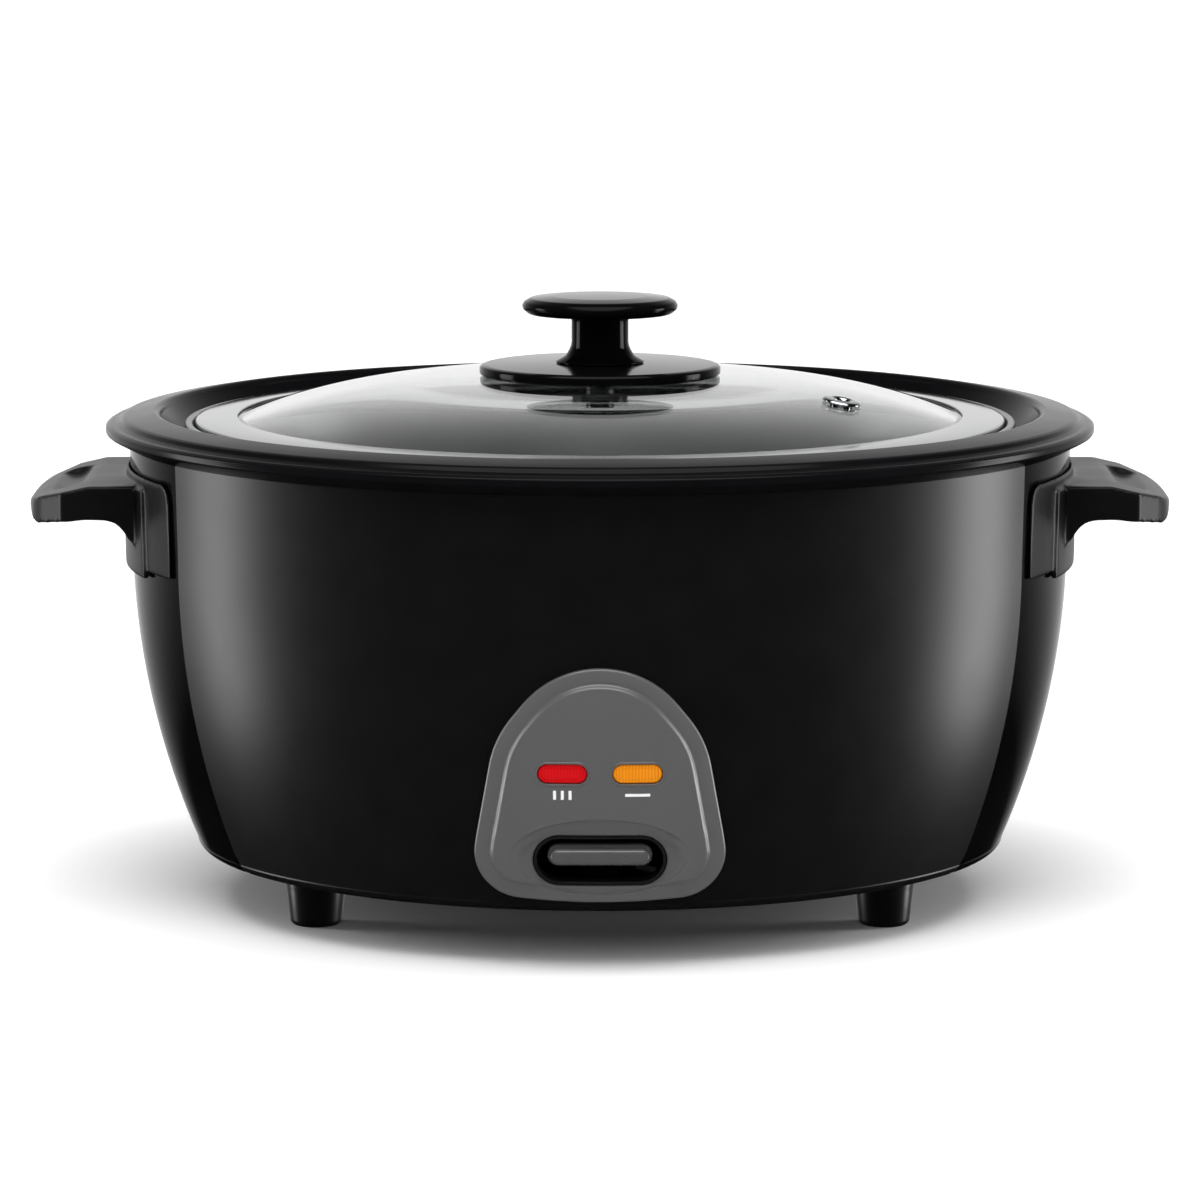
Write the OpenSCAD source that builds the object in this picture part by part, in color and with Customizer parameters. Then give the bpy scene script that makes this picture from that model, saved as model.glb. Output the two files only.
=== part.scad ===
// Lever-switch rice cooker with a lift-out pot and a domed glass lid.
// Millimetres, +Z up, front towards -Y. The origin is on the floor, under the middle of the body.

/* [Body] */
// Radius of the shells just under the collar
neck_r = 168; // [160:0.5:176]
// Radius where the straight neck turns into the curved belly
waist_r = 167.2; // [160:0.1:175]
// Height where the belly starts to curve inwards
waist_z = 132; // [120:1:140]
// Radius of the belly's curve, seen from the side
belly_rho = 275; // [240:1:340]
// Height of the top edge of the shells
shell_top_z = 165; // [155:1:175]
// Height of the body's underside above the floor
base_z = 20; // [16:1:24]
// Wall of the shells and side panels
shell_wall = 2.6; // [2:0.1:3.2]
// Radius of the bottom edge
edge_r = 4; // [3.4:0.1:6]
// Half of the angle that each side panel covers
side_half_deg = 29; // [27:0.5:34]
// Radius of the shells' lower corners beside the side panels
corner_r = 8; // [4:1:12]

/* [Collar] */
// Radius of the collar's opening
opening_r = 158.5; // [156:0.5:160]
// Height of the collar's inner edge above the top of the shells
collar_h = 11.6; // [9:0.2:14]
// How far the collar's lip stands out past the neck
lip_out = 8.4; // [6:0.2:10]

/* [Inner pot] */
// Outer radius of the pot's wall
pot_r = 143; // [138:0.5:144]
// Thickness of the pot's wall and floor
pot_wall = 1.6; // [1.2:0.1:2]
// Radius of the pot's lower corner
pot_corner_r = 24; // [16:1:32]
// Radius of the rolled bead's section
bead_r = 1.5; // [1.2:0.1:1.8]
// Outer radius of the rolled bead
bead_outer_r = 148.5; // [147.5:0.1:148.8]

/* [Lid] */
// Height of the top of the glass
dome_top_z = 189; // [185:0.5:193]
// Radius of the dome's flat crown, seen from the side
crown_rho = 900; // [700:10:1400]
// Plan radius where the crown meets the shoulder
crown_r = 71; // [60:1:80]
// Radius of the dome's shoulder, seen from the side
shoulder_rho = 217; // [205:1:230]
// Thickness of the glass
glass_t = 4; // [3:0.5:5]
// Plan radius of the inner edge of the steel rim
rim_inner_r = 129.5; // [126:0.5:132]
// Outer radius of the steel rim
rim_outer_r = 144.6; // [144:0.1:144.8]
// Sheet thickness of the steel rim
rim_t = 0.6; // [0.4:0.1:0.8]
// Distance of the steam vent from the middle of the lid
vent_r = 95.9; // [85:0.1:105]
// Direction of the steam vent, from +X towards +Y
vent_deg = -28; // [-80:1:80]

/* [Knob] */
// Radius of the knob's top
knob_r = 27.9; // [22:0.1:34]
// Height of the knob's top above the floor of the room
knob_top_z = 216.8; // [214:0.2:222]
// Thickness of the knob's top
knob_t = 6.6; // [6.2:0.1:10]
// Radius of the knob's stem
stem_r = 10.2; // [8:0.1:13]
// Radius of the skirt under the knob
skirt_r = 43.1; // [34:0.1:50]

/* [Control panel] */
// Height of the panel's top
panel_top_z = 107.1; // [100:0.1:112]
// Height of the panel's bottom
panel_bottom_z = 24; // [23.5:0.1:27]
// Largest half width of the panel
panel_half_w = 42.5; // [38:0.5:46]
// How far the panel's rim stands out from the body
panel_rim_t = 2.2; // [1.6:0.1:3]
// How far the panel's middle stands out from the body
panel_mid_t = 4; // [3.2:0.1:5]
// Width of the band between the panel's edge and its raised middle
panel_band = 5.2; // [4:0.1:7]
// Width and height of a lamp window
lens_w = 16.6; // [12:0.1:20]
lens_h = 6.6; // [5:0.1:8]
// Half of the distance between the lamps
lens_x = 12.65; // [11:0.05:16]
// Height of the lamps
lens_z = 70.8; // [68:0.1:74]
// Width and height of the lever's slot
slot_w = 45.5; // [43:0.1:50]
slot_h = 18.3; // [18:0.1:20]
// Height of the middle of the slot
slot_z = 39.25; // [38.5:0.05:40]

/* [Switch lever] */
// Width and height of the key that the finger presses
key_w = 35.3; // [30:0.1:36]
key_h = 7.2; // [6:0.1:7.6]
// Height of the middle of the key
key_z = 41.4; // [41:0.1:41.8]
// Distance of the pivot in front of the middle of the cooker
pivot_y = 75; // [70:1:80]
// Height of the pivot
pivot_z = 35; // [34:0.5:36]
// Radius of the pivot pin
pin_r = 2; // [1.6:0.1:2.4]
// Sheet thickness of the lever
lever_t = 1.5; // [1.2:0.1:2]

/* [Handles] */
// Half width of a handle
handle_half_w = 46; // [40:1:50]
// Distance of a handle's tip from the middle of the cooker
handle_tip_x = 203.9; // [198:0.1:210]
// Height of a handle's top where it meets the body
handle_z = 153.4; // [148:0.1:156]

/* [Heating] */
// Radius of the heating plate
plate_r = 112; // [100:1:120]
// Height of the heating plate's top
plate_z = 66; // [64:0.5:68]
// Thickness of the heating plate
plate_t = 6; // [5:0.5:7]
// Radius of the sensor cap in the middle of the plate
cap_r = 20.2; // [18:0.1:22]
// Inner radius of the inner casing
liner_r = 146.5; // [146:0.1:147]
// Height of the inner casing's floor
liner_z = 52; // [51:0.5:53]

/* [Feet and inlet] */
// Distance of the feet from the middle, sideways and to the front
foot_x = 100; // [90:1:104]
foot_y = 60; // [50:1:70]
// Radius of a foot at its top and near the floor
foot_top_r = 11.25; // [9:0.25:13]
foot_low_r = 8.9; // [7:0.1:11]
// Height of the middle of the power inlet
inlet_z = 38; // [37:0.5:39]

/* [Fits] */
// Gap between pieces that are pushed together
fit = 0.3; // [0.2:0.05:0.4]
// Radial clearance of a pin that turns
run = 0.05; // [0.02:0.01:0.09]

/* [Hidden] */
$fn = 96;
big = 400;

// Body
neck_slope = (neck_r - waist_r) / (shell_top_z - waist_z);
neck_over = shell_top_z - waist_z + 7;
belly_x = waist_r - belly_rho;
seam_deg = 0.06;
rebate = 2.5;
rebate_r = shell_r(base_z + edge_r, edge_r) - 1.6;
base_t = rebate - 0.1;
flange_t = 2.6;
flange_in_r = rebate_r - 12;
boss_r = 4;
boss_h = 9;
base_screw_r = rebate_r - 6.5;
base_screw_degs = [250, 290, 70, 110, 0, 180];

// Collar
collar_z = shell_top_z + collar_h;
lip_r = neck_r + lip_out;
skirt_outer_r = neck_r - shell_wall - fit;
throat_r = bead_outer_r + 0.8;
ledge_z = collar_z - 10.2;
collar_boss_r = 157.5;
collar_degs = [for (i = [0:5]) 30 + 60 * i];

// Lid
crown_deg = asin(crown_r / crown_rho);
shoulder_x = (crown_rho - shoulder_rho) * sin(crown_deg);
shoulder_z = dome_top_z - crown_rho + (crown_rho - shoulder_rho) * cos(crown_deg);
brim_z = dome_z(rim_inner_r - 0.8);
brim_drop = 0.9;
glass_r = rim_outer_r - rim_t - 1.2;
brim_low_z = brim_z - brim_drop - glass_t;
rim_top_z = brim_z + rim_t + 0.1;
rim_low_z = brim_low_z - rim_t - 0.1;
vent_tilt = asin((vent_r - shoulder_x) / shoulder_rho);
vent_hole_r = 4;
knob_hole_r = 4;
lid_bolt_r = 2.5;

// Inner pot: its floor lies just above the plate, and the lid's rim rests on its step
pot_z = plate_z + fit;
bead_z = collar_z - 5.6;
shoulder_r = bead_outer_r - 1.5;
rest_z = rim_low_z - 0.1;

// Knob
skirt_z = dome_top_z + fit;
skirt_top_z = skirt_z + 3.4;
gasket_t = 1.2;
washer_t = 1;
under_glass_z = dome_top_z - glass_t;

// Control panel
lens_fit = 0.2;
frame_wall = 1.2;
frame_in_w = slot_w - 0.4 - 2 * frame_wall;
frame_in_h = slot_h - 0.4 - 2 * frame_wall;
dish_half_w = 30.5;
dish_half_h = 13.9;
dish_z = slot_z + 1.4;
dish_floor = 1.4;

// Switch lever
key_front_y = shell_r(key_z) + panel_mid_t + 2;
key_back_y = key_front_y - 16;
arm_w = 14;
arm_z = key_z;
tail_z = 33;
tail_len = 4.5;
ear_x = 7;
bracket_gap = 0.5;
bracket_t = 1.5;

// Heating
casing_t = 0.8;
casing_low_z = liner_z - casing_t;
casing_corner_r = 12;
ridge_r = 80;
plate_hole_r = cap_r + fit;
post_r = 5;
post_orbit_r = 60;
post_degs = [30, 150, 270];
terminal_degs = [80, 100];
terminal_r = 2.4;
cap_flange_z = plate_z - 14;
cap_t = 1;
tube_r = 16;
tube_t = 1.4;
holder_z = casing_low_z - 1.5;
ferrite_t = 4.3;
magnet_gap = 5.4;
magnet_t = 5.3;
magnet_z = plate_z - cap_t - ferrite_t - magnet_gap - magnet_t;
rod_r = 2.2;
yoke_top_z = 37;

// Micro switch, under the lever between the key and the pivot
switch_y = -108;
switch_top_z = 36;
switch_h = 9;
plunger_r = 1.5;
plunger_top_z = arm_z - lever_t / 2 - fit;

// Power inlet
inlet_face_y = shell_r(inlet_z + 14) + 1.4;
inlet_flange = [50, 27];
inlet_flange_t = 2.4;
inlet_box = [29, 22];
inlet_mouth = [24.4, 16.6];
inlet_depth = 20;
inlet_screw_x = 20;

// Wires
wire_r = 1.2;

// Radius of the body's outline at a height, moved inwards by inset
function shell_r(z, inset = 0) =
    z >= waist_z
        ? waist_r + (z - waist_z) * neck_slope - inset
        : belly_x + sqrt(pow(belly_rho - inset, 2) - pow(waist_z - z, 2));

// Height of the outside of the glass at a plan radius
function dome_z(r) =
    r < crown_r
        ? dome_top_z - crown_rho + sqrt(pow(crown_rho, 2) - r * r)
        : shoulder_z + sqrt(pow(shoulder_rho, 2) - pow(r - shoulder_x, 2));

// A smooth curve through points, with n steps between each pair
function curve(p, n) = [
    for (i = [0:len(p) - 2], k = [0:n - 1])
        let (
            a = p[max(i - 1, 0)],
            b = p[i],
            c = p[i + 1],
            d = p[min(i + 2, len(p) - 1)],
            t = k / n
        )
        0.5 * (2 * b + (c - a) * t + (2 * a - 5 * b + 4 * c - d) * t * t
            + (3 * b - a - 3 * c + d) * t * t * t),
    p[len(p) - 1]
];
function unit(v) = v / norm(v);

// A round tube along a list of points; up is a direction that no stretch runs along
module tube_along(path, r, sides = 8, up = [0, 0, 1]) {
    n = len(path);
    rings = [
        for (i = [0:n - 1])
            let (
                along = unit(path[min(i + 1, n - 1)] - path[max(i - 1, 0)]),
                u = unit(cross(along, up)),
                v = cross(along, u)
            )
            for (k = [0:sides - 1])
                path[i] + r * (u * cos(360 * k / sides) + v * sin(360 * k / sides))
    ];
    walls = [
        for (i = [0:n - 2], k = [0:sides - 1])
            [i * sides + k, i * sides + (k + 1) % sides, (i + 1) * sides + (k + 1) % sides,
                (i + 1) * sides + k]
    ];
    first = [for (k = [0:sides - 1]) sides - 1 - k];
    last = [for (k = [0:sides - 1]) (n - 1) * sides + k];
    polyhedron(points = rings, faces = concat(walls, [first, last]), convexity = 4);
}

// A compression spring standing on z = 0
module coil_spring(r, wire, h, turns) {
    steps = turns * 16;
    tube_along([
        for (i = [0:steps])
            [r * cos(22.5 * i), r * sin(22.5 * i), wire + (h - 2 * wire) * i / steps]
    ], wire, 6);
}

// A rectangle with fully round ends, lying along X
module stadium(w, h) {
    square([w - h, h], center = true);
    for (s = [-1, 1])
        translate([s * (w - h) / 2, 0])
            circle(d = h);
}

// A rectangle with rounded corners
module soft_rect(w, h, r) {
    square([w - 2 * r, h], center = true);
    square([w, h - 2 * r], center = true);
    for (x = [-1, 1], y = [-1, 1])
        translate([x * (w / 2 - r), y * (h / 2 - r)])
            circle(r);
}

// Half section of everything inside the body's outline
module body_half(inset = 0) {
    r = edge_r - inset;
    low = base_z + inset;
    corner_z = base_z + edge_r;
    corner_x = shell_r(corner_z, edge_r);
    meet_z = waist_z + (corner_z - waist_z) * (belly_rho - inset) / (belly_rho - edge_r);
    polygon([
        [0, waist_z], [waist_r - inset, waist_z],
        [waist_r + neck_slope * neck_over - inset, waist_z + neck_over],
        [0, waist_z + neck_over]
    ]);
    intersection() {
        translate([belly_x, waist_z])
            circle(belly_rho - inset, $fn = 360);
        translate([0, meet_z])
            square([big, waist_z + 1 - meet_z]);
    }
    translate([0, low])
        square([corner_x, meet_z - low]);
    translate([corner_x, corner_z])
        circle(max(r, 0.01));
}

// The layer between two distances from the body's outline; negative is outside
module body_layer(outer, inner) {
    rotate_extrude($fn = 180)
        intersection() {
            difference() {
                grown_half(-outer);
                grown_half(-inner);
            }
            translate([0, base_z + 3])
                square([big, shell_top_z - base_z - 3]);
        }
}

// Half section of the body's outline with no bottom edge, grown outwards
module grown_half(out) {
    polygon([
        [0, waist_z], [waist_r + out, waist_z],
        [waist_r + neck_slope * neck_over + out, waist_z + neck_over],
        [0, waist_z + neck_over]
    ]);
    intersection() {
        translate([belly_x, waist_z])
            circle(belly_rho + out, $fn = 360);
        square([big, waist_z + 1]);
    }
}

// Half section of a shell: wall, rounded bottom edge and the flange over the base plate
module shell_half() {
    intersection() {
        difference() {
            body_half();
            body_half(shell_wall);
            square([rebate_r + fit, base_z + rebate]);
            square([flange_in_r, shell_top_z]);
        }
        square([big, shell_top_z]);
    }
    translate([flange_in_r, base_z + rebate])
        square([shell_r(base_z + edge_r, edge_r) + 1 - flange_in_r, flange_t]);
}

// The part of the shell between two directions
module shell_sector(from, to) {
    rotate([0, 0, from])
        rotate_extrude(angle = to - from, $fn = 180)
            shell_half();
}

// Radial prism that rounds the lower corner of a shell; turn is 1 or -1 for its side
module corner_prism(at, turn) {
    rotate([0, 0, at])
        translate([flange_in_r - 1, 0, base_z])
            rotate([90, 0, 90])
                linear_extrude(40)
                    scale([turn, 1])
                        difference() {
                            translate([-1, -1])
                                square(corner_r + 1);
                            translate([corner_r, corner_r])
                                circle(corner_r);
                        }
}

// Boss and screw hole of the shell, over the base plate
module base_boss() {
    translate([base_screw_r, 0, base_z + rebate])
        difference() {
            cylinder(r = boss_r, h = boss_h);
            translate([0, 0, -1])
                cylinder(r = 1.7, h = boss_h - 1);
        }
}

module at_deg(a) {
    rotate([0, 0, a])
        children();
}

// One of the two large shells; mid is the direction of its middle
module big_shell(mid) {
    half = 90 - side_half_deg - seam_deg;
    difference() {
        union() {
            shell_sector(mid - half, mid + half);
            for (a = base_screw_degs)
                if (abs(a - mid) < half)
                    at_deg(a) base_boss();
        }
        corner_prism(mid - half, 1);
        corner_prism(mid + half, -1);
        for (a = base_screw_degs)
            at_deg(a)
                translate([base_screw_r, 0, base_z])
                    cylinder(r = 1.7, h = boss_h);
    }
}

module front_shell() {
    color("#1b1b1d")
        difference() {
            big_shell(270);
            through_front(slot_z) stadium(slot_w + 0.6, slot_h + 0.6);
            for (s = [-1, 1])
                through_front(lens_z) translate([s * lens_x, 0])
                    stadium(lens_w + 2 * lens_fit, lens_h + 2 * lens_fit);
        }
}

module rear_shell() {
    color("#1b1b1d")
        difference() {
            union() {
                big_shell(90);
                inlet_pad();
            }
            translate([0, inlet_face_y - 14, inlet_z])
                rotate([-90, 0, 0])
                    linear_extrude(20)
                        soft_rect(inlet_box[0] + 2 * fit, inlet_box[1] + 2 * fit, 3);
            for (s = [-1, 1])
                translate([s * inlet_screw_x, inlet_face_y - 9, inlet_z])
                    rotate([-90, 0, 0])
                        cylinder(r = 1.5, h = 20);
        }
}

// Flat pad on the rear shell that carries the inlet
module inlet_pad() {
    difference() {
        intersection() {
            translate([0, 100, inlet_z + 0.5])
                rotate([-90, 0, 0])
                    linear_extrude(inlet_face_y - 100)
                        soft_rect(inlet_flange[0] + 5, inlet_flange[1] + 4, 4);
            translate([-big / 2, 100, base_z + rebate + flange_t])
                cube([big, big, 60]);
        }
        rotate_extrude($fn = 180)
            grown_half(-shell_wall + 0.4);
    }
}

// What is cut off a side panel past its seam, so that it still fills the shell's corner
module seam_prism(at, turn) {
    rotate([0, 0, at])
        translate([flange_in_r - 1, 0, base_z])
            rotate([90, 0, 90])
                linear_extrude(60)
                    scale([turn, 1])
                        difference() {
                            translate([0, -2])
                                square([30, shell_top_z]);
                            difference() {
                                translate([-1, -3])
                                    square([corner_r + 1, corner_r + 3]);
                                translate([corner_r, corner_r])
                                    circle(corner_r + fit);
                            }
                        }
}

module side_panel(mid) {
    reach = side_half_deg + 6.5;
    color("#08080a")
        difference() {
            union() {
                shell_sector(mid - reach, mid + reach);
                at_deg(mid) base_boss();
            }
            seam_prism(mid + side_half_deg, 1);
            seam_prism(mid - side_half_deg, -1);
            at_deg(mid)
                translate([base_screw_r, 0, base_z])
                    cylinder(r = 1.7, h = boss_h);
            for (s = [-1, 1])
                handle_screw_axis(mid, s)
                    cylinder(r = 2.2, h = 20, center = true);
        }
}

// Collar: a channel section round the opening, open underneath
module collar_half() {
    z = collar_z;
    offset(r = 0.8, $fn = 32)
        offset(delta = -0.8)
            polygon([
                [throat_r, ledge_z - 4.9], [throat_r, ledge_z], [opening_r - 7.4, ledge_z + 0.2],
                [opening_r - 1.7, z - 2.4], [opening_r - 1.3, z - 1.2], [opening_r - 0.4, z - 0.3],
                [opening_r + 0.8, z], [opening_r + 10.6, z - 1.7], [opening_r + 11.9, z - 2.2],
                [opening_r + 12.8, z - 3.4], [opening_r + 14.4, z - 4.1], [lip_r - 1.6, z - 4.3],
                [lip_r, z - 5.2], [lip_r, z - 7.4], [lip_r - 1.4, z - 8.2],
                [neck_r + 0.6, shell_top_z + 0.1], [skirt_outer_r, shell_top_z + 0.1],
                [skirt_outer_r, shell_top_z - 7], [skirt_outer_r - 2.4, shell_top_z - 7],
                [skirt_outer_r - 2.4, shell_top_z + 2], [skirt_outer_r + 1, shell_top_z + 5],
                [opening_r + 2, z - 3.1], [opening_r - 4.6, ledge_z - 1.6],
                [throat_r + 2.2, ledge_z - 2.6], [throat_r + 2.2, ledge_z - 4.9]
            ]);
}

module rim_collar() {
    boss_low_z = ledge_z - 2.6;
    color("#202022")
        difference() {
            union() {
                rotate_extrude($fn = 180)
                    collar_half();
                for (a = collar_degs)
                    at_deg(a)
                        translate([collar_boss_r, 0, boss_low_z])
                            cylinder(r = 3, h = collar_z - 3.4 - boss_low_z);
            }
            for (a = collar_degs)
                at_deg(a)
                    translate([collar_boss_r, 0, boss_low_z - 1])
                        cylinder(r = 1.5, h = 8);
        }
}

module base_plate() {
    pad_z = switch_top_z - switch_h - 0.1;
    color("#151517")
        difference() {
            union() {
                translate([0, 0, base_z])
                    cylinder(r = rebate_r, h = base_t);
                for (x = [-1, 1], y = [-1, 1])
                    translate([x * foot_x, y * foot_y, base_z])
                        cylinder(r = foot_top_r - 2, h = base_t + 2);
                translate([-7, switch_y - 12, base_z])
                    cube([14, 24, pad_z - base_z]);
            }
            for (a = base_screw_degs)
                at_deg(a)
                    translate([base_screw_r, 0, base_z - 1]) {
                        cylinder(r = 1.9, h = 10);
                        cylinder(r = 3.4, h = 2.4);
                    }
            for (x = [-1, 1], y = [-1, 1])
                translate([x * foot_x, y * foot_y, base_z - 1])
                    cylinder(r = 2.1, h = 10);
            for (row = [0:3], s = [-1, 1])
                translate([0, s * (24 + 11 * row), base_z - 1])
                    linear_extrude(base_t + 2)
                        stadium(70 - 8 * row, 4.4);
        }
}

// A pan-head screw with its head's underside at z = 0 and its shank towards +Z
module screw(r, length, head_r, head_h) {
    difference() {
        union() {
            cylinder(r = r, h = length);
            translate([0, 0, -head_h])
                cylinder(r = head_r, h = head_h);
        }
        translate([0, 0, -head_h - 0.1])
            for (a = [0, 90])
                rotate([0, 0, a])
                    translate([-head_r * 0.6, -0.5, 0])
                        cube([head_r * 1.2, 1, head_h * 0.6]);
    }
}

module base_screws() {
    color("silver")
        for (a = base_screw_degs)
            at_deg(a)
                translate([base_screw_r, 0, base_z + 1.35])
                    screw(1.6, 8, 3, 1.2);
}

module foot(x, y) {
    foot_edge = 2.4;
    color("#141415")
        translate([x, y, 0])
            difference() {
                rotate_extrude() {
                    polygon([
                        [0, 0], [foot_low_r - foot_edge, 0], [foot_low_r - 0.1, foot_edge],
                        [foot_low_r + 1.4, 13], [foot_top_r, base_z - 0.1], [0, base_z - 0.1]
                    ]);
                    translate([foot_low_r - foot_edge, foot_edge])
                        circle(foot_edge);
                }
                translate([0, 0, base_z - 12])
                    cylinder(r = 1.8, h = 20);
            }
}

module foot_screws() {
    color("silver")
        for (x = [-1, 1], y = [-1, 1])
            translate([x * foot_x, y * foot_y, base_z + base_t + 2.1])
                rotate([180, 0, 0])
                    screw(1.75, 15, 4, 2.2);
}

// Frame of a handle screw: origin where its head bears, +Z outwards
module handle_screw_axis(mid, s) {
    rotate([0, 0, mid + s * 8])
        translate([shell_r(handle_z - 6, shell_wall), 0, handle_z - 6])
            rotate([0, 90, 0])
                children();
}

// Side outline of the grip, X outwards and Y up
module grip_side() {
    t = handle_tip_x;
    z = handle_z;
    offset(r = 1.6, $fn = 24)
        offset(delta = -1.6)
            polygon([
                [t - 44, z], [t - 24, z - 0.1], [t - 14, z - 2.4], [t - 6, z - 5],
                [t - 1.6, z - 7.2], [t, z - 9.8], [t - 1.2, z - 13], [t - 4.6, z - 14.9],
                [t - 14, z - 12.9], [t - 23, z - 12], [t - 30, z - 12.2], [t - 33.4, z - 13.2],
                [t - 35.8, z - 15.4], [t - 38, z - 19], [t - 44, z - 24]
            ]);
}

// Plan of the grip, X outwards
module grip_plan() {
    hull() {
        translate([100, -handle_half_w])
            square([75, 2 * handle_half_w]);
        for (s = [-1, 1])
            translate([handle_tip_x - 28, s * (handle_half_w - 26)])
                circle(26, $fn = 64);
        translate([handle_tip_x - 80, 0])
            circle(80, $fn = 200);
    }
}

// Plate that hugs the body's side: half is half its angle, out its distance from the body
module hug_plate(out, half, low, high) {
    rotate([0, 0, -half])
        rotate_extrude(angle = 2 * half, $fn = 180)
            intersection() {
                grown_half(out);
                translate([neck_r - 6, low])
                    square([20, high - low]);
            }
}

// Prism that rounds the upper corner of a hugging plate; side is 1 or -1
module hug_corner(half, high, r, side) {
    rotate([0, 0, side * half])
        translate([neck_r - 8, 0, high])
            rotate([90, 0, 90])
                linear_extrude(24)
                    scale([side, 1])
                        difference() {
                            translate([-r, -r])
                                square(r + 1);
                            translate([-r, -r])
                                circle(r);
                        }
}

// Handle on the +X side
module handle_body() {
    trim_half = side_half_deg - 1.4;
    trim_high = handle_z + 4.2;
    color("#19191b")
        difference() {
            union() {
                intersection() {
                    rotate([90, 0, 0])
                        linear_extrude(2 * handle_half_w, center = true)
                            grip_side();
                    translate([0, 0, 100])
                        linear_extrude(80)
                            grip_plan();
                }
                hug_plate(2.6, 19.4, handle_z - 31.4, handle_z - 0.4);
                hug_plate(1.3, trim_half, handle_z - 29, trim_high);
            }
            rotate([0, 0, -50])
                rotate_extrude(angle = 100, $fn = 180)
                    grown_half(fit);
            for (side = [-1, 1])
                hug_corner(trim_half, trim_high, 6, side);
            translate([handle_tip_x - 14, 0, handle_z + 3.2])
                rotate([90, 0, 0]) {
                    cylinder(r = 8, h = 46, center = true);
                    for (s = [-1, 1])
                        translate([0, 0, s * 23])
                            sphere(8);
                }
            for (s = [-1, 1])
                handle_screw_axis(0, s)
                    cylinder(r = 2, h = 19);
        }
}

module handle_right() {
    handle_body();
}

module handle_left() {
    mirror([1, 0, 0])
        handle_body();
}

module handle_screws() {
    color("silver")
        for (mid = [0, 180], s = [-1, 1])
            handle_screw_axis(mid, s)
                translate([0, 0, -0.4])
                    screw(1.95, 18, 3.8, 2.4);
}

// Cuts or extrudes through the front of the body, centred on a height
module through_front(z) {
    translate([0, -120, z])
        rotate([90, 0, 0])
            linear_extrude(60)
                children();
}

// Outline of the control panel, X across and Y up
module panel_outline(inset = 0) {
    low_r = 16.5;
    low_x = panel_half_w - low_r;
    low_y = panel_bottom_z + 1.2 + low_r;
    hull() {
        translate([0, panel_top_z - 33])
            circle(33 - inset, $fn = 64);
        translate([0, panel_top_z - 41])
            circle(panel_half_w - 4.5 - inset, $fn = 64);
        for (s = [-1, 1])
            translate([s * low_x, low_y])
                circle(low_r - inset, $fn = 40);
        polygon([
            for (k = [-3:3])
                [low_x * k / 3, panel_bottom_z + inset + 1.2 * pow(k / 3, 2)],
            [0, low_y]
        ]);
    }
}

// Part of a layer over the body, cut to an outline seen from the front
module front_layer(outer, inner) {
    intersection() {
        body_layer(-outer, -inner);
        through_front(0) children();
    }
}

module control_panel() {
    color("#6a6a6a")
        difference() {
            union() {
                front_layer(panel_rim_t, 0.1) panel_outline();
                front_layer(panel_mid_t, 0.1) panel_outline(panel_band);
            }
            front_layer(panel_mid_t + 5, dish_floor)
                translate([0, dish_z])
                    polygon([
                        for (a = [0:10:350])
                            [dish_half_w * cos(a), dish_half_h * sin(a)]
                    ]);
            through_front(slot_z) stadium(slot_w, slot_h);
            for (s = [-1, 1])
                through_front(lens_z) translate([s * lens_x, 0])
                    stadium(lens_w + 2 * lens_fit, lens_h + 2 * lens_fit);
        }
}

module lever_frame() {
    color("#101010")
        front_layer(0.9, -9)
            translate([0, slot_z])
                difference() {
                    stadium(slot_w - 0.4, slot_h - 0.4);
                    stadium(frame_in_w, frame_in_h);
                }
}

module lens(s, tint) {
    color(tint)
        front_layer(panel_mid_t - 0.3, -5.2)
            translate([s * lens_x, lens_z])
                stadium(lens_w, lens_h);
}

module cook_lens() {
    lens(-1, "#c00000");
}

module warm_lens() {
    lens(1, "#e08a00");
}

// White block behind the panel with a light well for each lamp
module lamp_holder() {
    casing_out_r = liner_r + casing_t + fit;
    color("ivory")
        difference() {
            intersection() {
                body_layer(shell_wall + fit, 20);
                through_front(lens_z) soft_rect(2 * lens_x + lens_w + 8, lens_h + 10, 2);
            }
            cylinder(r = casing_out_r, h = 120);
            for (s = [-1, 1])
                translate([s * lens_x, -casing_out_r + 4, lens_z])
                    rotate([90, 0, 0])
                        linear_extrude(40)
                            stadium(lens_w + 1, lens_h + 1);
        }
}

module neon_lamps() {
    lamp_y = liner_r + casing_t + fit + 3.4;
    lamp_len = lens_w - 4.6;
    color("mistyrose")
        for (s = [-1, 1])
            translate([s * lens_x - lamp_len / 2, -sqrt(pow(lamp_y, 2) - pow(lens_x, 2)), lens_z])
                rotate([0, 90, 0]) {
                    cylinder(r = 2, h = lamp_len);
                    sphere(2);
                    translate([0, 0, lamp_len])
                        sphere(2);
                }
}

// Half section of the inner casing: floor, corner, wall and flange
module casing_half() {
    top_z = ledge_z - 3.1;
    flare_z = rest_z - pot_wall - 12;
    wide_r = throat_r + 2.2 + fit;
    translate([0, casing_low_z])
        square([liner_r - casing_corner_r, casing_t]);
    translate([liner_r - casing_corner_r, liner_z + casing_corner_r])
        intersection() {
            difference() {
                circle(casing_corner_r + casing_t);
                circle(casing_corner_r);
            }
            translate([0, -2 * casing_corner_r])
                square(2 * casing_corner_r);
        }
    polygon([
        [liner_r, liner_z + casing_corner_r], [liner_r + casing_t, liner_z + casing_corner_r],
        [liner_r + casing_t, flare_z], [wide_r + casing_t, flare_z + 5],
        [wide_r + casing_t, top_z - casing_t], [collar_boss_r + 3.5, top_z - casing_t],
        [collar_boss_r + 3.5, top_z], [wide_r, top_z], [wide_r, flare_z + 5.2],
        [liner_r, flare_z + 0.2]
    ]);
}

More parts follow.
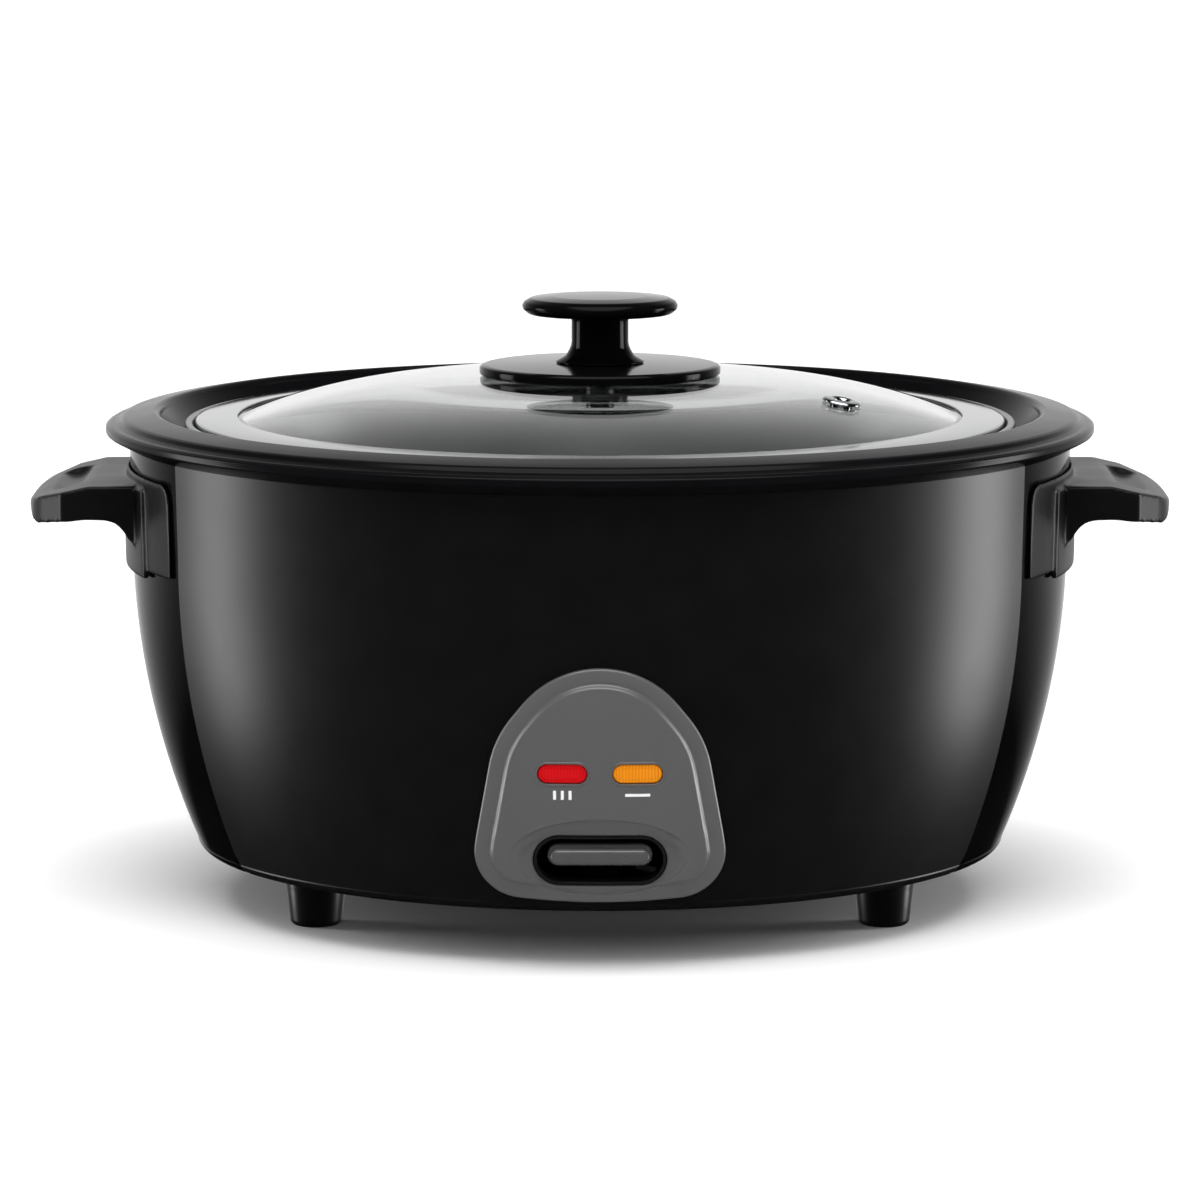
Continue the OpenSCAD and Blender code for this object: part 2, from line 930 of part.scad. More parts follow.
module inner_casing() {
    color("#c9ccd0")
        difference() {
            rotate_extrude($fn = 180)
                casing_half();
            translate([0, 0, casing_low_z - 1])
                cylinder(r = 26, h = 4);
            for (a = terminal_degs)
                at_deg(a)
                    translate([ridge_r, 0, casing_low_z - 1])
                        cylinder(r = terminal_r + 2, h = 4);
            for (a = post_degs)
                at_deg(a)
                    translate([post_orbit_r, 0, casing_low_z - 1])
                        cylinder(r = 2.2, h = 4);
            for (a = collar_degs)
                at_deg(a)
                    translate([collar_boss_r, 0, ledge_z - 6])
                        cylinder(r = 1.9, h = 4);
        }
}

module casing_screws() {
    color("silver")
        for (a = collar_degs)
            at_deg(a)
                translate([collar_boss_r, 0, ledge_z - 3.1 - casing_t - 0.1])
                    screw(1.45, 7, 3, 2);
}

module heating_plate() {
    low_z = plate_z - plate_t;
    color("#b9bcbf")
        difference() {
            union() {
                rotate_extrude($fn = 180)
                    difference() {
                        polygon([
                            [plate_hole_r, low_z], [ridge_r - 8, low_z], [ridge_r - 6, low_z - 4],
                            [ridge_r + 6, low_z - 4], [ridge_r + 8, low_z], [plate_r - 3, low_z],
                            [plate_r, low_z + 2], [plate_r, plate_z - 2], [plate_r - 2, plate_z],
                            [plate_hole_r, plate_z]
                        ]);
                    }
                for (a = post_degs)
                    at_deg(a)
                        translate([post_orbit_r, 0, liner_z + 0.1])
                            cylinder(r = post_r, h = low_z - liner_z + 0.9);
            }
            for (a = post_degs)
                at_deg(a)
                    translate([post_orbit_r, 0, liner_z - 1])
                        cylinder(r = 1.9, h = 10);
            for (a = terminal_degs)
                at_deg(a)
                    translate([ridge_r, 0, low_z - 5])
                        cylinder(r = terminal_r + 0.1, h = 6);
        }
}

module plate_screws() {
    color("silver")
        for (a = post_degs)
            at_deg(a)
                translate([post_orbit_r, 0, casing_low_z - 0.1])
                    screw(1.85, 8.5, 3.4, 2);
}

module heater_terminals() {
    top_z = plate_z - plate_t + 0.9;
    color("gainsboro")
        for (a = terminal_degs)
            at_deg(a)
                translate([ridge_r, 0, casing_low_z - 8]) {
                    cylinder(r = terminal_r, h = top_z - casing_low_z + 8);
                    translate([-3.2, -0.4, -7])
                        cube([6.4, 0.8, 8]);
                }
}

// Flat keep-warm element on the outside of the inner casing
module warm_heater() {
    low_r = liner_r + casing_t + fit;
    color("#d8cfb0")
        rotate([0, 0, 40])
            rotate_extrude(angle = 100, $fn = 180)
                translate([low_r, 84])
                    square([1.6, 34]);
}

// Cup under the inner casing that guides the sensor cap and the magnet
module thermostat_base() {
    color("#d5d8db")
        difference() {
            rotate_extrude()
                polygon([
                    [rod_r + 0.5, holder_z - 1.5], [33, holder_z - 1.5], [33, casing_low_z - 0.1],
                    [28, casing_low_z - 0.1], [28, holder_z], [tube_r + tube_t, holder_z],
                    [tube_r + tube_t, holder_z + 10], [tube_r, holder_z + 10],
                    [tube_r, holder_z - 0.2], [rod_r + 0.5, holder_z - 0.2]
                ]);
        }
}

module sensor_cap() {
    color("#dcdfe2")
        rotate_extrude()
            polygon([
                [0, plate_z - cap_t], [cap_r - cap_t, plate_z - cap_t],
                [cap_r - cap_t, cap_flange_z], [cap_r + 3, cap_flange_z],
                [cap_r + 3, cap_flange_z + cap_t], [cap_r, cap_flange_z + cap_t],
                [cap_r, plate_z - 1], [cap_r - 1, plate_z], [0, plate_z]
            ]);
}

module sensor_ferrite() {
    color("#3a3a3d")
        translate([0, 0, plate_z - cap_t - ferrite_t - 0.05])
            cylinder(r = tube_r - 2, h = ferrite_t);
}

module sensor_spring() {
    low_z = holder_z + 0.1;
    color("silver")
        translate([0, 0, low_z])
            coil_spring(tube_r + tube_t + 0.95, 0.5, plate_z - cap_t - low_z - 0.2, 5);
}

module pull_magnet() {
    color("#55565a")
        translate([0, 0, magnet_z])
            cylinder(r = tube_r - 3, h = magnet_t);
}

module pull_rod() {
    tail_gap = 0.8;
    color("silver")
        difference() {
            union() {
                translate([0, 0, yoke_top_z - 1])
                    cylinder(r = rod_r, h = magnet_z - yoke_top_z + 0.95);
                translate([-9.5, -3, tail_z - 5])
                    cube([19, 6, yoke_top_z - tail_z + 5]);
            }
            translate([-arm_w / 2 - 0.8, -4, tail_z - lever_t / 2 - tail_gap])
                cube([arm_w + 1.6, 8, lever_t + 2 * tail_gap]);
        }
}

module release_spring() {
    high_z = holder_z - 1.6;
    color("silver")
        translate([0, 0, yoke_top_z + 0.1])
            coil_spring(rod_r + 1.3, 0.5, high_z - yoke_top_z - 0.1, 5);
}

module lever_key() {
    color("#8b8c8e")
        difference() {
            translate([0, -key_back_y, key_z])
                rotate([90, 0, 0]) {
                    linear_extrude(key_front_y - key_back_y - 1)
                        stadium(key_w, key_h);
                    translate([0, 0, key_front_y - key_back_y - 1])
                        linear_extrude(1)
                            stadium(key_w - 1.6, key_h - 1.6);
                }
            translate([-arm_w / 2 - 0.1, -key_back_y - 9, arm_z - lever_t / 2 - 0.1])
                cube([arm_w + 0.2, 10, lever_t + 0.2]);
        }
}

module lever_arm() {
    front_y = -key_back_y - 8.8;
    color("#b7babd")
        difference() {
            union() {
                translate([-arm_w / 2, front_y, arm_z - lever_t / 2])
                    cube([arm_w, -pivot_y + 4 - front_y, lever_t]);
                translate([-arm_w / 2, -pivot_y + 4 - lever_t, tail_z - lever_t / 2])
                    cube([arm_w, lever_t, arm_z - tail_z + lever_t]);
                translate([-arm_w / 2, -pivot_y + 4 - lever_t, tail_z - lever_t / 2])
                    cube([arm_w, pivot_y - 4 + lever_t + tail_len, lever_t]);
                for (s = [-1, 1])
                    translate([s * (ear_x - 0.6) - 0.6, -pivot_y - 5, pivot_z - 4])
                        cube([1.2, 8, arm_z - pivot_z + 4]);
            }
            translate([-20, -pivot_y, pivot_z])
                rotate([0, 90, 0])
                    cylinder(r = pin_r + run, h = 40);
        }
}

module lever_pin() {
    half = ear_x + bracket_gap + bracket_t + 1.5;
    color("silver")
        translate([-half, -pivot_y, pivot_z])
            rotate([0, 90, 0])
                cylinder(r = pin_r, h = 2 * half);
}

// Bracket under the inner casing that holds the lever's pin
module lever_bracket() {
    in_x = ear_x + bracket_gap;
    color("#a9acb0")
        difference() {
            union() {
                translate([-in_x - bracket_t, -pivot_y - 7, casing_low_z - 0.1 - bracket_t])
                    cube([2 * (in_x + bracket_t), 14, bracket_t]);
                for (s = [-1, 1])
                    translate([s * (in_x + bracket_t / 2) - bracket_t / 2, -pivot_y - 7, pivot_z - 5])
                        cube([bracket_t, 14, casing_low_z - 0.1 - pivot_z + 5]);
            }
            translate([-20, -pivot_y, pivot_z])
                rotate([0, 90, 0])
                    cylinder(r = pin_r + 0.02, h = 40);
        }
}

module micro_switch() {
    color("#232a33")
        difference() {
            union() {
                translate([-6, switch_y - 10, switch_top_z - switch_h])
                    cube([12, 20, switch_h]);
                for (y = [-6, 6])
                    translate([6, switch_y + y - 2, switch_top_z - switch_h + 3])
                        cube([6, 4, 0.8]);
            }
            translate([0, switch_y, switch_top_z - 6])
                cylinder(r = plunger_r + run, h = 10);
        }
}

module switch_plunger() {
    color("firebrick")
        translate([0, switch_y, switch_top_z - 2.5])
            cylinder(r = plunger_r, h = plunger_top_z - switch_top_z + 2.5);
}

fuse_at = [34, 34, casing_low_z - 3.6];

module thermal_fuse() {
    color("tan")
        translate(fuse_at)
            rotate([0, 90, 0]) {
                cylinder(r = 2, h = 14, center = true);
                cylinder(r = 0.6, h = 24, center = true);
            }
}

module fuse_clip() {
    color("silver")
        translate([fuse_at.x - 3, fuse_at.y, fuse_at.z])
            rotate([90, 0, 90])
                linear_extrude(6)
                    difference() {
                        union() {
                            circle(3);
                            translate([-3, 0])
                                square([6, 3.5]);
                            translate([-3, 2.7])
                                square([11, 0.8]);
                        }
                        circle(2.1);
                    }
}

module inlet_socket() {
    color("#0c0c0d")
        translate([0, inlet_face_y + 0.1, inlet_z])
            rotate([-90, 0, 0])
                difference() {
                    union() {
                        linear_extrude(inlet_flange_t)
                            soft_rect(inlet_flange[0], inlet_flange[1], 3);
                        translate([0, 0, -inlet_depth])
                            linear_extrude(inlet_depth + 1)
                                soft_rect(inlet_box[0], inlet_box[1], 3);
                    }
                    translate([0, 0, -inlet_depth + 2.5])
                        linear_extrude(inlet_depth + 5)
                            soft_rect(inlet_mouth[0], inlet_mouth[1], 2);
                    for (p = pin_spots)
                        translate([p.x, p.y, -inlet_depth - 1])
                            linear_extrude(10)
                                square([2.1, 4.1], center = true);
                    for (s = [-1, 1])
                        translate([s * inlet_screw_x, 0, -5])
                            cylinder(r = 1.7, h = 10);
                }
}

pin_spots = [[-7, 1.5], [7, 1.5], [0, -2]];

module inlet_pins() {
    color("gainsboro")
        translate([0, inlet_face_y + 0.1, inlet_z])
            rotate([-90, 0, 0])
                for (p = pin_spots)
                    translate([p.x, p.y, -inlet_depth - 6])
                        linear_extrude(inlet_depth + 6 + inlet_flange_t - 6)
                            square([2, 4], center = true);
}

module inlet_screws() {
    color("silver")
        for (s = [-1, 1])
            translate([s * inlet_screw_x, inlet_face_y + 0.1 + inlet_flange_t + 0.05, inlet_z])
                rotate([90, 0, 0])
                    screw(1.45, 10, 3, 1.8);
}

// Routes of the wires inside the base, as points picked by hand
pin_back_y = inlet_face_y - inlet_depth - 6.8;
live_route = [[7, pin_back_y, 36.5], [14, 112, 34], [40, 70, 30], [44, 0, 29], [34, -60, 30],
    [22, -96, 31], [13.1, -102.4, 30.6]];
neutral_route = [[-7, pin_back_y, 36.5], [-16, 112, 34], [-24, 98, 34], [-15.2, 83, 37.4]];
earth_route = [[0, pin_back_y, 40], [3, 116, 42], [-8, 104, 44], [-30, 100, 46],
    [-40, 96, 49.6]];
switched_route = [[12.6, -114, 30.6], [26, -112, 29], [54, -70, 30], [60, -10, 32],
    [54, 30, 40], [47.4, 34, 47.4]];
lamps_route = [[-24, -132, 30], [-30, -137, 38], [-33, -145, 48], [-32, -147, 56],
    [-29, -148.6, 63], [-27, -149, 68]];

module wire(route, tint, up = [0, 0, 1]) {
    color(tint)
        tube_along(curve(route, 6), wire_r, up = up);
}

module wire_live() {
    wire(live_route, "saddlebrown");
}

module wire_neutral() {
    wire(neutral_route, "royalblue");
}

module wire_earth() {
    wire(earth_route, "yellowgreen");
}

module wire_switched() {
    wire(switched_route, "dimgray");
}

module wire_lamps() {
    wire(lamps_route, "whitesmoke", [1, 0, 0]);
}

// Half section of the pot, outside first
module pot_half() {
    low = pot_z;
    step_z = rest_z - pot_wall;
    ir = pot_r - pot_wall;
    difference() {
        union() {
            translate([0, low])
                square([pot_r - pot_corner_r, pot_corner_r]);
            translate([pot_r - pot_corner_r, low + pot_corner_r])
                circle(pot_corner_r);
            translate([0, low + pot_corner_r])
                square([pot_r, step_z - low - pot_corner_r + 0.5]);
            translate([0, step_z])
                square([shoulder_r, bead_z - step_z]);
            translate([bead_outer_r - bead_r, bead_z])
                circle(bead_r);
        }
        translate([0, low + pot_wall])
            square([pot_r - pot_corner_r, pot_corner_r]);
        translate([pot_r - pot_corner_r, low + pot_corner_r])
            circle(pot_corner_r - pot_wall);
        translate([0, low + pot_corner_r])
            square([ir, rest_z - low - pot_corner_r + 1]);
        translate([0, rest_z])
            square([shoulder_r - pot_wall, bead_z - rest_z + 5]);
        translate([-big, 0])
            square(big);
    }
}

module inner_pot() {
    color("#c4c6c8")
        rotate_extrude($fn = 180)
            pot_half();
}

// Half section of the glass dome: crown and shoulder
module dome_half() {
    difference() {
        union() {
            intersection() {
                translate([0, dome_top_z - crown_rho])
                    circle(crown_rho, $fn = 720);
                translate([0, brim_low_z])
                    square([crown_r, 60]);
            }
            intersection() {
                translate([shoulder_x, shoulder_z])
                    circle(shoulder_rho, $fn = 720);
                translate([crown_r - 1, brim_low_z])
                    square([rim_inner_r + 0.4 - crown_r, 60]);
            }
        }
        intersection() {
            translate([0, dome_top_z - crown_rho])
                circle(crown_rho - glass_t, $fn = 720);
            translate([-1, 100])
                square([crown_r + 1, 120]);
        }
        intersection() {
            translate([shoulder_x, shoulder_z])
                circle(shoulder_rho - glass_t, $fn = 720);
            translate([crown_r, 100])
                square([rim_inner_r - 3 - crown_r, 120]);
        }
    }
}

// Half section of the flat brim that the steel rim grips
module brim_half() {
    start_r = rim_inner_r - 1.4;
    polygon([
        [start_r, brim_z - 0.5], [start_r + 0.8, brim_z], [glass_r, brim_z - brim_drop],
        [glass_r, brim_low_z], [start_r, brim_low_z]
    ]);
}

// Frame of the steam vent: origin on the glass, +Z along its normal
module at_vent() {
    rotate([0, 0, vent_deg])
        translate([vent_r, 0, dome_z(vent_r)])
            rotate([0, vent_tilt, 0])
                children();
}

module lid_glass() {
    color("lightblue", 0.4)
        difference() {
            union() {
                rotate_extrude($fn = 180)
                    dome_half();
                rotate_extrude($fn = 180)
                    brim_half();
            }
            translate([0, 0, 150])
                cylinder(r = knob_hole_r, h = 60);
            at_vent() cylinder(r = vent_hole_r + 0.3, h = 30, center = true);
        }
}

// Steel rim folded round the brim of the glass
module rim_half() {
    out = rim_outer_r;
    round_r = 1.2;
    in_z = brim_z - brim_drop;
    polygon([
        [rim_inner_r, rim_top_z - rim_t], [glass_r + 0.1, in_z + 0.12], [glass_r + 0.6, in_z - 0.3],
        [out - rim_t, in_z - 1.4], [out - rim_t, rim_low_z + rim_t], [glass_r - 6, rim_low_z + rim_t],
        [glass_r - 6, rim_low_z], [out - 0.5, rim_low_z], [out, rim_low_z + 0.5],
        [out, in_z - round_r + rim_t], [out - round_r * 0.3, in_z - round_r * 0.3 + rim_t],
        [out - round_r, in_z + rim_t], [rim_inner_r, rim_top_z]
    ]);
}

module lid_rim() {
    color("#d9dbde")
        rotate_extrude($fn = 180)
            rim_half();
}

// Half section of the grip: top disc, stem and flare
module knob_half() {
    top = knob_top_z;
    low = top - knob_t;
    foot_z = skirt_top_z + 0.1;
    offset(r = -2.2, $fn = 32)
        offset(delta = 2.2)
            offset(r = 1.6, $fn = 32)
                offset(delta = -1.6)
                    polygon([
                        [0, top], [knob_r * 0.6, top - 0.3], [knob_r - 3, top - 1],
                        [knob_r - 0.8, top - 2.2], [knob_r, top - 3.6], [knob_r - 0.4, low + 1.6],
                        [knob_r - 2.4, low], [stem_r, low], [stem_r, foot_z + 6],
                        [stem_r + 2, foot_z + 2.4], [stem_r + 6.4, foot_z], [0, foot_z]
                    ]);
}

module knob() {
    color("#0a0a0b")
        difference() {
            rotate_extrude($fn = 120)
                intersection() {
                    knob_half();
                    square(big);
                }
            translate([0, 0, skirt_top_z - 1])
                cylinder(r = lid_bolt_r + run, h = 14);
        }
}

module knob_skirt() {
    r = skirt_r;
    edge_z = dome_z(r) + fit;
    color("#0a0a0b")
        rotate_extrude($fn = 120)
            polygon([
                [lid_bolt_r + 0.4, skirt_z], [12, skirt_z], [13, skirt_z + 1.1],
                [r - 4, edge_z + 1.4], [r - 2.6, edge_z], [r - 1, edge_z], [r, edge_z + 0.8],
                [r, edge_z + 2.8], [r - 0.8, edge_z + 3.6], [r - 2.4, edge_z + 3.9],
                [17.5, skirt_top_z], [lid_bolt_r + 0.4, skirt_top_z]
            ]);
}

module knob_gasket() {
    color("gainsboro")
        translate([0, 0, under_glass_z - gasket_t - 0.2])
            difference() {
                cylinder(r = 12, h = gasket_t);
                translate([0, 0, -1])
                    cylinder(r = lid_bolt_r + 0.4, h = gasket_t + 2);
            }
}

module knob_washer() {
    color("silver")
        translate([0, 0, under_glass_z - gasket_t - washer_t - 0.3])
            difference() {
                cylinder(r = 10, h = washer_t);
                translate([0, 0, -1])
                    cylinder(r = lid_bolt_r + 0.2, h = washer_t + 2);
            }
}

module knob_screw() {
    head_z = under_glass_z - gasket_t - washer_t - 0.4;
    color("silver")
        translate([0, 0, head_z])
            screw(lid_bolt_r, skirt_top_z + 12 - head_z, 5, 3);
}

module steam_eyelet() {
    color("#d9dbde")
        at_vent()
            rotate_extrude()
                polygon([
                    [2.4, -glass_t - 1.6], [6, -glass_t - 1.6], [6, -glass_t - 0.7],
                    [vent_hole_r, -glass_t - 0.5], [vent_hole_r, 0.4], [6.9, 0.4], [7, 0.8],
                    [6.2, 1.4], [4, 1.6], [3, 1.3], [2.4, 0.4]
                ]);
}

front_shell();
rear_shell();
side_panel(180);  // side_panel_left
side_panel(0);  // side_panel_right
rim_collar();
base_plate();
base_screws();
foot(-foot_x, -foot_y);  // foot_front_left
foot(foot_x, -foot_y);  // foot_front_right
foot(-foot_x, foot_y);  // foot_rear_left
foot(foot_x, foot_y);  // foot_rear_right
foot_screws();
handle_left();
handle_right();
handle_screws();
control_panel();
lever_frame();
cook_lens();
warm_lens();
lamp_holder();
neon_lamps();
inner_casing();
casing_screws();
heating_plate();
plate_screws();
heater_terminals();
warm_heater();
thermostat_base();
sensor_cap();
sensor_ferrite();
sensor_spring();
pull_magnet();
pull_rod();
release_spring();
lever_key();
lever_arm();
lever_pin();
lever_bracket();
micro_switch();
switch_plunger();
thermal_fuse();
fuse_clip();
inlet_socket();
inlet_pins();
inlet_screws();
wire_live();
wire_neutral();
wire_earth();
wire_switched();
wire_lamps();
inner_pot();
lid_glass();
lid_rim();
knob();
knob_skirt();
knob_screw();
knob_washer();
knob_gasket();
steam_eyelet();
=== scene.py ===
# %% [markdown]
# # A lever-switch rice cooker
# The mechanical parts were built elsewhere as exact solids. This lesson loads them as a fixed
# frame, then gives each surface you can see its final shape and finish. Everything is in metres
# and in one frame, +Z up and the front towards -Y, so nothing has to be fitted into place.

# %% Load the fixed frame
import math

import bmesh
import bpy
from mathutils import Matrix, Vector


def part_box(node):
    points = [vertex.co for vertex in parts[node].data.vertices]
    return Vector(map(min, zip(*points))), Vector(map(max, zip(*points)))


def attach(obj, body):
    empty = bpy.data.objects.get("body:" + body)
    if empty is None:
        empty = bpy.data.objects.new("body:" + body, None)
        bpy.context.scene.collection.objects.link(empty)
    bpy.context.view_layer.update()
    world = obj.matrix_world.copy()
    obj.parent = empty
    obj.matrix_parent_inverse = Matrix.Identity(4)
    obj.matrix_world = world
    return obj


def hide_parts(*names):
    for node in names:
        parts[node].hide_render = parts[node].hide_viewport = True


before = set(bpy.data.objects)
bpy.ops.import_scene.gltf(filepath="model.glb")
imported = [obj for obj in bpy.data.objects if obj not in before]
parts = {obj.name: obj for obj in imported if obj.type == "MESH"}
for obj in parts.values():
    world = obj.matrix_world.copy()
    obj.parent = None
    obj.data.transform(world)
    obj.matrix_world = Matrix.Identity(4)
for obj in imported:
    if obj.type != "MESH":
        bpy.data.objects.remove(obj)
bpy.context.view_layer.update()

print("parts loaded:", len(parts))

# %% [markdown]
# ## Camera
# The object is seen from straight ahead and a little above, from far away, so that upright lines
# stay nearly parallel. A long lens on a distant camera gives that calm catalogue look.

# %% Camera
LENS_MM = 193.92
SEEN_FROM = (0, -2.3, 0.43)
DOWN_DEG = 8

camera_data = bpy.data.cameras.new("camera")
camera_data.sensor_width = 36
camera_data.lens = LENS_MM
camera = bpy.data.objects.new("camera", camera_data)
camera.location = SEEN_FROM
camera.rotation_euler = (math.radians(90 - DOWN_DEG), 0, 0)
bpy.context.scene.collection.objects.link(camera)
bpy.context.scene.camera = camera
print("lens", camera_data.lens)

# %% [markdown]
# ## Small tools
# Four helpers do most of the work: one turns an sRGB colour into the linear values that Blender
# wants, one adds a shader node, one starts a material, and one turns a bmesh into a finished
# piece that rides on a part of the machine.

# %% Colour and shader helpers
def linear(code):
    """Linear RGBA of an sRGB colour such as "c0c0c0"."""
    channels = [int(code[i:i + 2], 16) / 255 for i in (0, 2, 4)]
    return [c / 12.92 if c <= 0.04045 else ((c + 0.055) / 1.055) ** 2.4 for c in channels] + [1]


def add(tree, kind, inputs=(), **settings):
    """Adds a node; inputs maps a socket to a value or to another node's output socket."""
    made = tree.nodes.new(kind)
    for name, value in settings.items():
        setattr(made, name, value)
    for name, value in dict(inputs).items():
        if isinstance(value, bpy.types.NodeSocket):
            tree.links.new(value, made.inputs[name])
        else:
            made.inputs[name].default_value = value
    return made


def material(name, **sockets):
    """A new material with its Principled shader, whose sockets are set by name."""
    made = bpy.data.materials.new(name)
    made.use_nodes = True
    shader = made.node_tree.nodes["Principled BSDF"]
    for socket, value in sockets.items():
        shader.inputs[socket.replace("_", " ")].default_value = value
    place = add(made.node_tree, "ShaderNodeTexCoord").outputs["Object"]
    return made, made.node_tree, shader, place


def grain(tree, place, size_mm, detail=2, stretch=(1, 1, 1)):
    """Noise whose features are about size_mm across, stretched by three factors."""
    turned = add(tree, "ShaderNodeMapping", {0: place, "Scale": [1 / s for s in stretch]})
    return add(tree, "ShaderNodeTexNoise",
               {"Vector": turned.outputs[0], "Scale": 1000 / size_mm, "Detail": detail})


def blend(tree, amount, low, high):
    """A colour between low and high, chosen by a value from 0 to 1."""
    ramp = add(tree, "ShaderNodeValToRGB", {"Fac": amount})
    ramp.color_ramp.elements[0].color = low
    ramp.color_ramp.elements[1].color = high
    return ramp


def span(tree, amount, low, high, start=0, end=1):
    """Maps a value from start..end onto low..high."""
    return add(tree, "ShaderNodeMapRange", {"Value": amount, "From Min": start, "From Max": end,
                                            "To Min": low, "To Max": high}).outputs[0]


def bumped(tree, shader, height, depth_mm, strength=1):
    """Gives a shader a bump of a real depth."""
    bump = add(tree, "ShaderNodeBump", {"Height": height, "Distance": depth_mm / 1000,
                                        "Strength": strength})
    tree.links.new(bump.outputs[0], shader.inputs["Normal"])


# %% Mesh helpers
MM = 0.001


def finish_piece(bm, name, body, finish, stands_for=(), sharp_deg=35):
    """Turns a bmesh in millimetres into a smooth-shaded object on a body of the machine."""
    bmesh.ops.scale(bm, vec=(MM, MM, MM), verts=bm.verts)
    mesh = bpy.data.meshes.new(name)
    bm.to_mesh(mesh)
    bm.free()
    mesh.polygons.foreach_set("use_smooth", [True] * len(mesh.polygons))
    mesh.set_sharp_from_angle(angle=math.radians(sharp_deg))
    mesh.materials.append(finish)
    piece = bpy.data.objects.new(name, mesh)
    bpy.context.scene.collection.objects.link(piece)
    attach(piece, body)
    if stands_for:
        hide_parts(*stands_for)
    print(name, len(mesh.polygons), "faces")
    return piece


def rounded(corners):
    """A line through (r, z, radius) corners in which each corner is an arc of its radius."""
    line = []
    for i, (r, z, radius) in enumerate(corners):
        here = Vector((r, z))
        if radius <= 0 or i in (0, len(corners) - 1):
            line.append((r, z))
            continue
        to_last = (Vector(corners[i - 1][:2]) - here)
        to_next = (Vector(corners[i + 1][:2]) - here)
        half = to_last.angle(to_next) / 2
        reach = min(radius / math.tan(half), to_last.length * 0.49, to_next.length * 0.49)
        radius = reach * math.tan(half)
        centre = here + (to_last.normalized() + to_next.normalized()).normalized() * (
            radius / math.sin(half))
        start = here + to_last.normalized() * reach - centre
        turn = start.angle_signed(here + to_next.normalized() * reach - centre)
        steps = max(2, round(abs(math.degrees(turn)) / 15))
        for k in range(steps + 1):
            arm = start.copy()
            arm.rotate(Matrix.Rotation(-turn * k / steps, 2))
            line.append(tuple(centre + arm))
    return line


# Corners closer than this are one corner.
WELD_MM = 0.0005


def spun(line, start_deg=0, angle_deg=360, step_deg=3, closed=False):
    """A bmesh made by turning a line of (r, z) points in millimetres about the upright axis."""
    bm = bmesh.new()
    verts = [bm.verts.new((r, 0, z)) for r, z in line]
    pairs = list(zip(verts, verts[1:])) + ([(verts[-1], verts[0])] if closed else [])
    for a, b in pairs:
        bm.edges.new((a, b))
    bmesh.ops.rotate(bm, verts=bm.verts, matrix=Matrix.Rotation(math.radians(start_deg), 3, "Z"))
    full = abs(angle_deg - 360) < 1e-6
    bmesh.ops.spin(bm, geom=bm.verts[:] + bm.edges[:], cent=(0, 0, 0), axis=(0, 0, 1),
                   angle=math.radians(angle_deg), steps=round(angle_deg / step_deg),
                   use_merge=full, use_normal_flip=False, use_duplicate=False)
    bmesh.ops.remove_doubles(bm, verts=bm.verts, dist=WELD_MM)
    if closed or full:
        bmesh.ops.recalc_face_normals(bm, faces=bm.faces)
    return bm


# %% [markdown]
# ## The body's outline
# The body is round. Its wall runs straight down from the collar and then curves in along one
# large arc. Every piece on the body reads its radius from this one function.

# %% Outline of the body and of the glass
NECK_R, WAIST_R, WAIST_Z, BELLY_RHO, SHELL_TOP = 168, 167.2, 132, 275, 165
BASE_Z, EDGE_R, WALL = 20, 4, 2.6


def body_r(z):
    if z >= WAIST_Z:
        return WAIST_R + (z - WAIST_Z) * (NECK_R - WAIST_R) / (SHELL_TOP - WAIST_Z)
    return WAIST_R - BELLY_RHO + math.sqrt(BELLY_RHO ** 2 - (WAIST_Z - z) ** 2)


DOME_TOP, CROWN_RHO, CROWN_R, SHOULDER_RHO = 189, 900, 71, 217
CROWN_TILT = math.asin(CROWN_R / CROWN_RHO)
SHOULDER_X = (CROWN_RHO - SHOULDER_RHO) * math.sin(CROWN_TILT)
SHOULDER_Z = DOME_TOP - CROWN_RHO + (CROWN_RHO - SHOULDER_RHO) * math.cos(CROWN_TILT)


def dome_z(r):
    if r < CROWN_R:
        return DOME_TOP - CROWN_RHO + math.sqrt(CROWN_RHO ** 2 - r * r)
    return SHOULDER_Z + math.sqrt(SHOULDER_RHO ** 2 - (r - SHOULDER_X) ** 2)


print("body radius at the base", round(body_r(BASE_Z), 1), "glass brim", round(dome_z(128.7), 1))

# %% [markdown]
# ## Floor and light
# A product shot of something black lives from what it reflects. A wide soft sun overhead whitens
# the floor and leaves one soft shadow. Two tall panels of light, a little behind the object on
# each side, draw the long upright sheens on the round wall. The floor stays out of mirror-like
# reflections, as if black card lay in front of the object, so that the body stays deep black.

# %% Floor
def stage_floor():
    bm = bmesh.new()
    bmesh.ops.create_grid(bm, x_segments=4, y_segments=4, size=30)
    mesh = bpy.data.meshes.new("floor")
    bm.to_mesh(mesh)
    bm.free()
    floor = bpy.data.objects.new("floor", mesh)
    bpy.context.scene.collection.objects.link(floor)
    floor.visible_glossy = False
    floor.visible_shadow = False
    paper, tree, shader, place = material("studio_paper", Roughness=1, Specular_IOR_Level=0)
    tone = blend(tree, grain(tree, place, 900).outputs[0], linear("f9f9f9"), linear("fbfbfb"))
    tree.links.new(tone.outputs[0], shader.inputs["Base Color"])
    mesh.materials.append(paper)
    return floor


print("floor", stage_floor().name)

# %% Lights
def lamp(name, kind, place, aim, **settings):
    """A light at a place, turned to look at a point."""
    data = bpy.data.lights.new(name, kind)
    for key, value in settings.items():
        setattr(data, key, value)
    made = bpy.data.objects.new(name, data)
    made.location = place
    made.rotation_euler = (Vector(aim) - Vector(place)).to_track_quat("-Z", "Y").to_euler()
    made.visible_camera = False
    bpy.context.scene.collection.objects.link(made)
    return made


